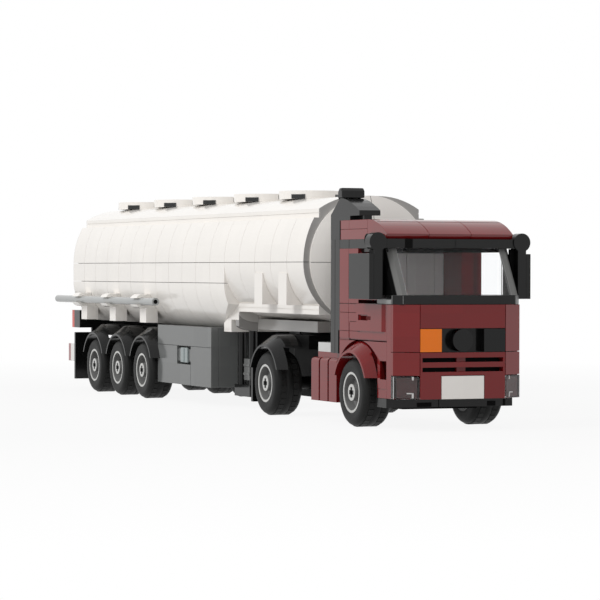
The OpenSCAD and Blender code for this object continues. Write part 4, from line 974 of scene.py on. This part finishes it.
def clip_tree():
    """Geometry nodes: a ring of clips turned outwards, repeated along a row of hatches."""
    tree, given, done = new_tree("hatch clips", "Clip", (
        ("Clips", "NodeSocketInt"),
        ("Rim radius", "NodeSocketFloat"),
        ("First turn", "NodeSocketVector"),
        ("Hatches", "NodeSocketInt"),
        ("First hatch", "NodeSocketVector"),
        ("Pitch", "NodeSocketVector"),
        ("Plastic", "NodeSocketMaterial"),
    ), "Row")
    link = tree.links.new
    turned = tree.nodes.new("GeometryNodeTransform")
    toward = tree.nodes.new("FunctionNodeEulerToRotation")
    link(given["First turn"], toward.inputs[0])
    link(ring_of(tree, given["Clip"], given["Clips"], given["Rim radius"]), turned.inputs["Geometry"])
    link(toward.outputs[0], turned.inputs["Rotation"])
    row = tree.nodes.new("GeometryNodeMeshLine")
    link(given["Hatches"], row.inputs["Count"])
    link(given["First hatch"], row.inputs["Start Location"])
    link(given["Pitch"], row.inputs["Offset"])
    along = tree.nodes.new("GeometryNodeInstanceOnPoints")
    link(row.outputs["Mesh"], along.inputs["Points"])
    link(turned.outputs["Geometry"], along.inputs["Instance"])
    end_tree(tree, along.outputs["Instances"], given["Plastic"], done[0])
    return tree


clip_shape = bmesh.new()
for size, shift in ((CLIP_PLATE, CLIP_PLATE_SHIFT), (CLIP_BAR, CLIP_BAR_SHIFT)):
    place = Matrix.Translation([c * MM for c in shift]) @ Matrix.Diagonal([c * MM for c in size] + [1])
    bmesh.ops.create_cube(clip_shape, size=1, matrix=place)
clip_mesh = bpy.data.meshes.new("hatch clip")
clip_shape.to_mesh(clip_mesh)
clip_shape.free()
hatch_low, hatch_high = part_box("hatches")
hatch_radius = (hatch_high.y - hatch_low.y) / 2
hatch_first = hatch_high.x - hatch_radius
hatch_pitch = (hatch_first - hatch_low.x - hatch_radius) / (HATCHES - 1)
hatch_clips = grown("hatch_clips", clip_mesh, clip_tree(), {
    "Clips": CLIPS,
    "Rim radius": hatch_radius - CLIP_GAP,
    "First turn": (0, 0, math.pi / 4),
    "Hatches": HATCHES,
    "First hatch": (hatch_first, 0, hatch_low.z + CLIP_PLATE[2] / 2 * MM + CLIP_GAP),
    "Pitch": (-hatch_pitch, 0, 0),
    "Plastic": moulded("clip painted shade", CLIP_SHADE_GREY),
})
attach(hatch_clips, "trailer")

# Cabinets, hoses and tail lamps
# Dark grey cabinets with a latch paddle hang under the tank, pale rigid hoses lie in white clips, and red
# lamps close the rear end.
PALE = (0.40, 0.41, 0.405)
PADDLE_GREY = (0.29, 0.335, 0.335)
TAIL_RED = (0.72, 0.10, 0.075)
TAIL_DULL = (0.40, 0.19, 0.19)
TAIL_MIDDLE = 32 * MM
TAIL_HALF = 8 * MM
HOSE_RADIUS = 1.6 * MM
BORE_RADIUS = 0.98 * MM
BORE_MIDDLE = 1.2 * MM
BORE_DEPTH = 2.2 * MM
BORE_STEPS = 24
PADDLE = ((205.5, 213.5), (23.2, 23.95), (16.6, 22.7))
PADDLE_RIB = ((209.1, 209.9), (23.2, 24.2), (16.9, 22.4))
finish_node("cabinets", grey)
finish_node("hoses", moulded("pale grey brick", PALE), edge=0)
hose_low, hose_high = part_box("hoses")
hose_y = hose_high.y - HOSE_RADIUS
hose_z = (hose_low.z + hose_high.z) / 2
# Painted shade: near-black plugs fill the hose bores, for the shade inside them.
bores = bmesh.new()
for side in (-1, 1):
    for x in (hose_high.x - BORE_MIDDLE, hose_low.x + BORE_MIDDLE):
        lie = Matrix.Translation((x, side * hose_y, hose_z)) @ Matrix.Rotation(math.pi / 2, 4, "Y")
        bmesh.ops.create_cone(bores, cap_ends=True, segments=BORE_STEPS, radius1=BORE_RADIUS,
                              radius2=BORE_RADIUS, depth=BORE_DEPTH, matrix=lie)
finish_piece("hose_bores", bores, painted_shade_black, "trailer", SMALL_EDGE)
tail_plastic = moulded("red lamp", TAIL_RED, gloss=0.08)
finish_node("tail_lamps", two_tone(tail_plastic, TAIL_DULL, "Z", TAIL_MIDDLE, TAIL_HALF))
paddles = bmesh.new()
add_pair(paddles, *PADDLE)
add_pair(paddles, *PADDLE_RIB)
paddle_grey = moulded("paddle grey", PADDLE_GREY)
finish_piece("latch_paddles", paddles, paddle_grey, "trailer")

# Camera
# The place from which the lorry is seen: ahead of its right front corner, at the height of the cab window.
CAMERA_PLACE = (0.98676, -0.39657, 0.05396)
CAMERA_YAW = 2.74557656
CAMERA_PITCH = -0.0108319
CAMERA_ROLL = 0.0025256
CAMERA_LENS = 158.237
CAMERA_SENSOR = 36
CAMERA_NEAR = 0.01
ahead = Vector((math.cos(CAMERA_PITCH) * math.cos(CAMERA_YAW),
                math.cos(CAMERA_PITCH) * math.sin(CAMERA_YAW), math.sin(CAMERA_PITCH)))
level = Vector((math.sin(CAMERA_YAW), -math.cos(CAMERA_YAW), 0))
upward = level.cross(ahead)
right = math.cos(CAMERA_ROLL) * level + math.sin(CAMERA_ROLL) * upward
over = -math.sin(CAMERA_ROLL) * level + math.cos(CAMERA_ROLL) * upward
camera_data = bpy.data.cameras.new("camera")
camera_data.sensor_width = CAMERA_SENSOR
camera_data.lens = CAMERA_LENS
camera_data.clip_start = CAMERA_NEAR
camera = bpy.data.objects.new("camera", camera_data)
facing = Matrix((right, over, -ahead)).transposed().to_4x4()
camera.matrix_world = Matrix.Translation(CAMERA_PLACE) @ facing
bpy.context.scene.collection.objects.link(camera)
bpy.context.scene.camera = camera

# Studio
# A white floor that fades into a white surround, even light from all round, and one large soft lamp
# high on the lorry's right.
AMBIENT = 0.69
PAPER = (0.6, 0.6, 0.6)
PAPER_ROUGHNESS = 0.9
FLOOR_RADIUS = 6
FLOOR_STEPS = 96
FADE_START = 0.22
FADE_END = 0.55
FADE_LEAST = 0.9
SOFT_LAMP_PLACE = (0.15, -1.15, 0.95)
SOFT_LAMP_AIM = (0, 0, 0.04)
SOFT_LAMP_SIZE = 0.8
SOFT_LAMP_POWER = 8


def seen_plainly(tree):
    """Light path: one for what the camera sees, directly, mirrored in a face or through a clear pane."""
    path = tree.nodes.new("ShaderNodeLightPath")
    seen = path.outputs["Is Camera Ray"]
    for kind in ("Is Glossy Ray", "Is Transmission Ray"):
        either = tree.nodes.new("ShaderNodeMath")
        either.operation = "MAXIMUM"
        tree.links.new(seen, either.inputs[0])
        tree.links.new(path.outputs[kind], either.inputs[1])
        seen = either.outputs[0]
    return seen


scene = bpy.context.scene
scene.view_settings.view_transform = "Standard"
world = bpy.data.worlds.new("white surround")
scene.world = world
world.use_nodes = True
sky = world.node_tree
glow = sky.nodes["Background"]
glow.inputs["Color"].default_value = (1, 1, 1, 1)
strength = sky.nodes.new("ShaderNodeMapRange")
strength.inputs["To Min"].default_value = AMBIENT
strength.inputs["To Max"].default_value = 1
sky.links.new(seen_plainly(sky), strength.inputs["Value"])
sky.links.new(strength.outputs["Result"], glow.inputs["Strength"])

floor_mesh = bpy.data.meshes.new("floor")
floor_shape = bmesh.new()
bmesh.ops.create_circle(floor_shape, cap_ends=True, segments=FLOOR_STEPS, radius=FLOOR_RADIUS)
floor_shape.to_mesh(floor_mesh)
floor_shape.free()
floor = bpy.data.objects.new("floor", floor_mesh)
scene.collection.objects.link(floor)
paper = bpy.data.materials.new("white paper")
paper.use_nodes = True
sheet = paper.node_tree
paper_shader = sheet.nodes["Principled BSDF"]
paper_shader.inputs["Base Color"].default_value = (*PAPER, 1)
paper_shader.inputs["Roughness"].default_value = PAPER_ROUGHNESS
paper_shader.inputs["Specular IOR Level"].default_value = 0
lit = sheet.nodes.new("ShaderNodeEmission")
blend = sheet.nodes.new("ShaderNodeMixShader")
where = sheet.nodes.new("ShaderNodeTexCoord")
length = sheet.nodes.new("ShaderNodeVectorMath")
length.operation = "LENGTH"
fade = sheet.nodes.new("ShaderNodeMapRange")
fade.inputs["From Min"].default_value = FADE_START
fade.inputs["From Max"].default_value = FADE_END
fade.inputs["To Min"].default_value = FADE_LEAST
share = sheet.nodes.new("ShaderNodeMath")
share.operation = "MULTIPLY"
for a, b in (
    (where.outputs["Object"], length.inputs[0]),
    (length.outputs["Value"], fade.inputs["Value"]),
    (seen_plainly(sheet), share.inputs[0]),
    (fade.outputs["Result"], share.inputs[1]),
    (share.outputs[0], blend.inputs["Fac"]),
    (paper_shader.outputs[0], blend.inputs[1]),
    (lit.outputs[0], blend.inputs[2]),
    (blend.outputs[0], sheet.nodes["Material Output"].inputs["Surface"]),
):
    sheet.links.new(a, b)
floor_mesh.materials.append(paper)

lamp_data = bpy.data.lights.new("soft lamp", "AREA")
lamp_data.shape = "DISK"
lamp_data.size = SOFT_LAMP_SIZE
lamp_data.energy = SOFT_LAMP_POWER
lamp = bpy.data.objects.new("soft lamp", lamp_data)
aim = Vector(SOFT_LAMP_AIM) - Vector(SOFT_LAMP_PLACE)
lamp.matrix_world = Matrix.Translation(SOFT_LAMP_PLACE) @ aim.to_track_quat("-Z", "Y").to_matrix().to_4x4()
scene.collection.objects.link(lamp)
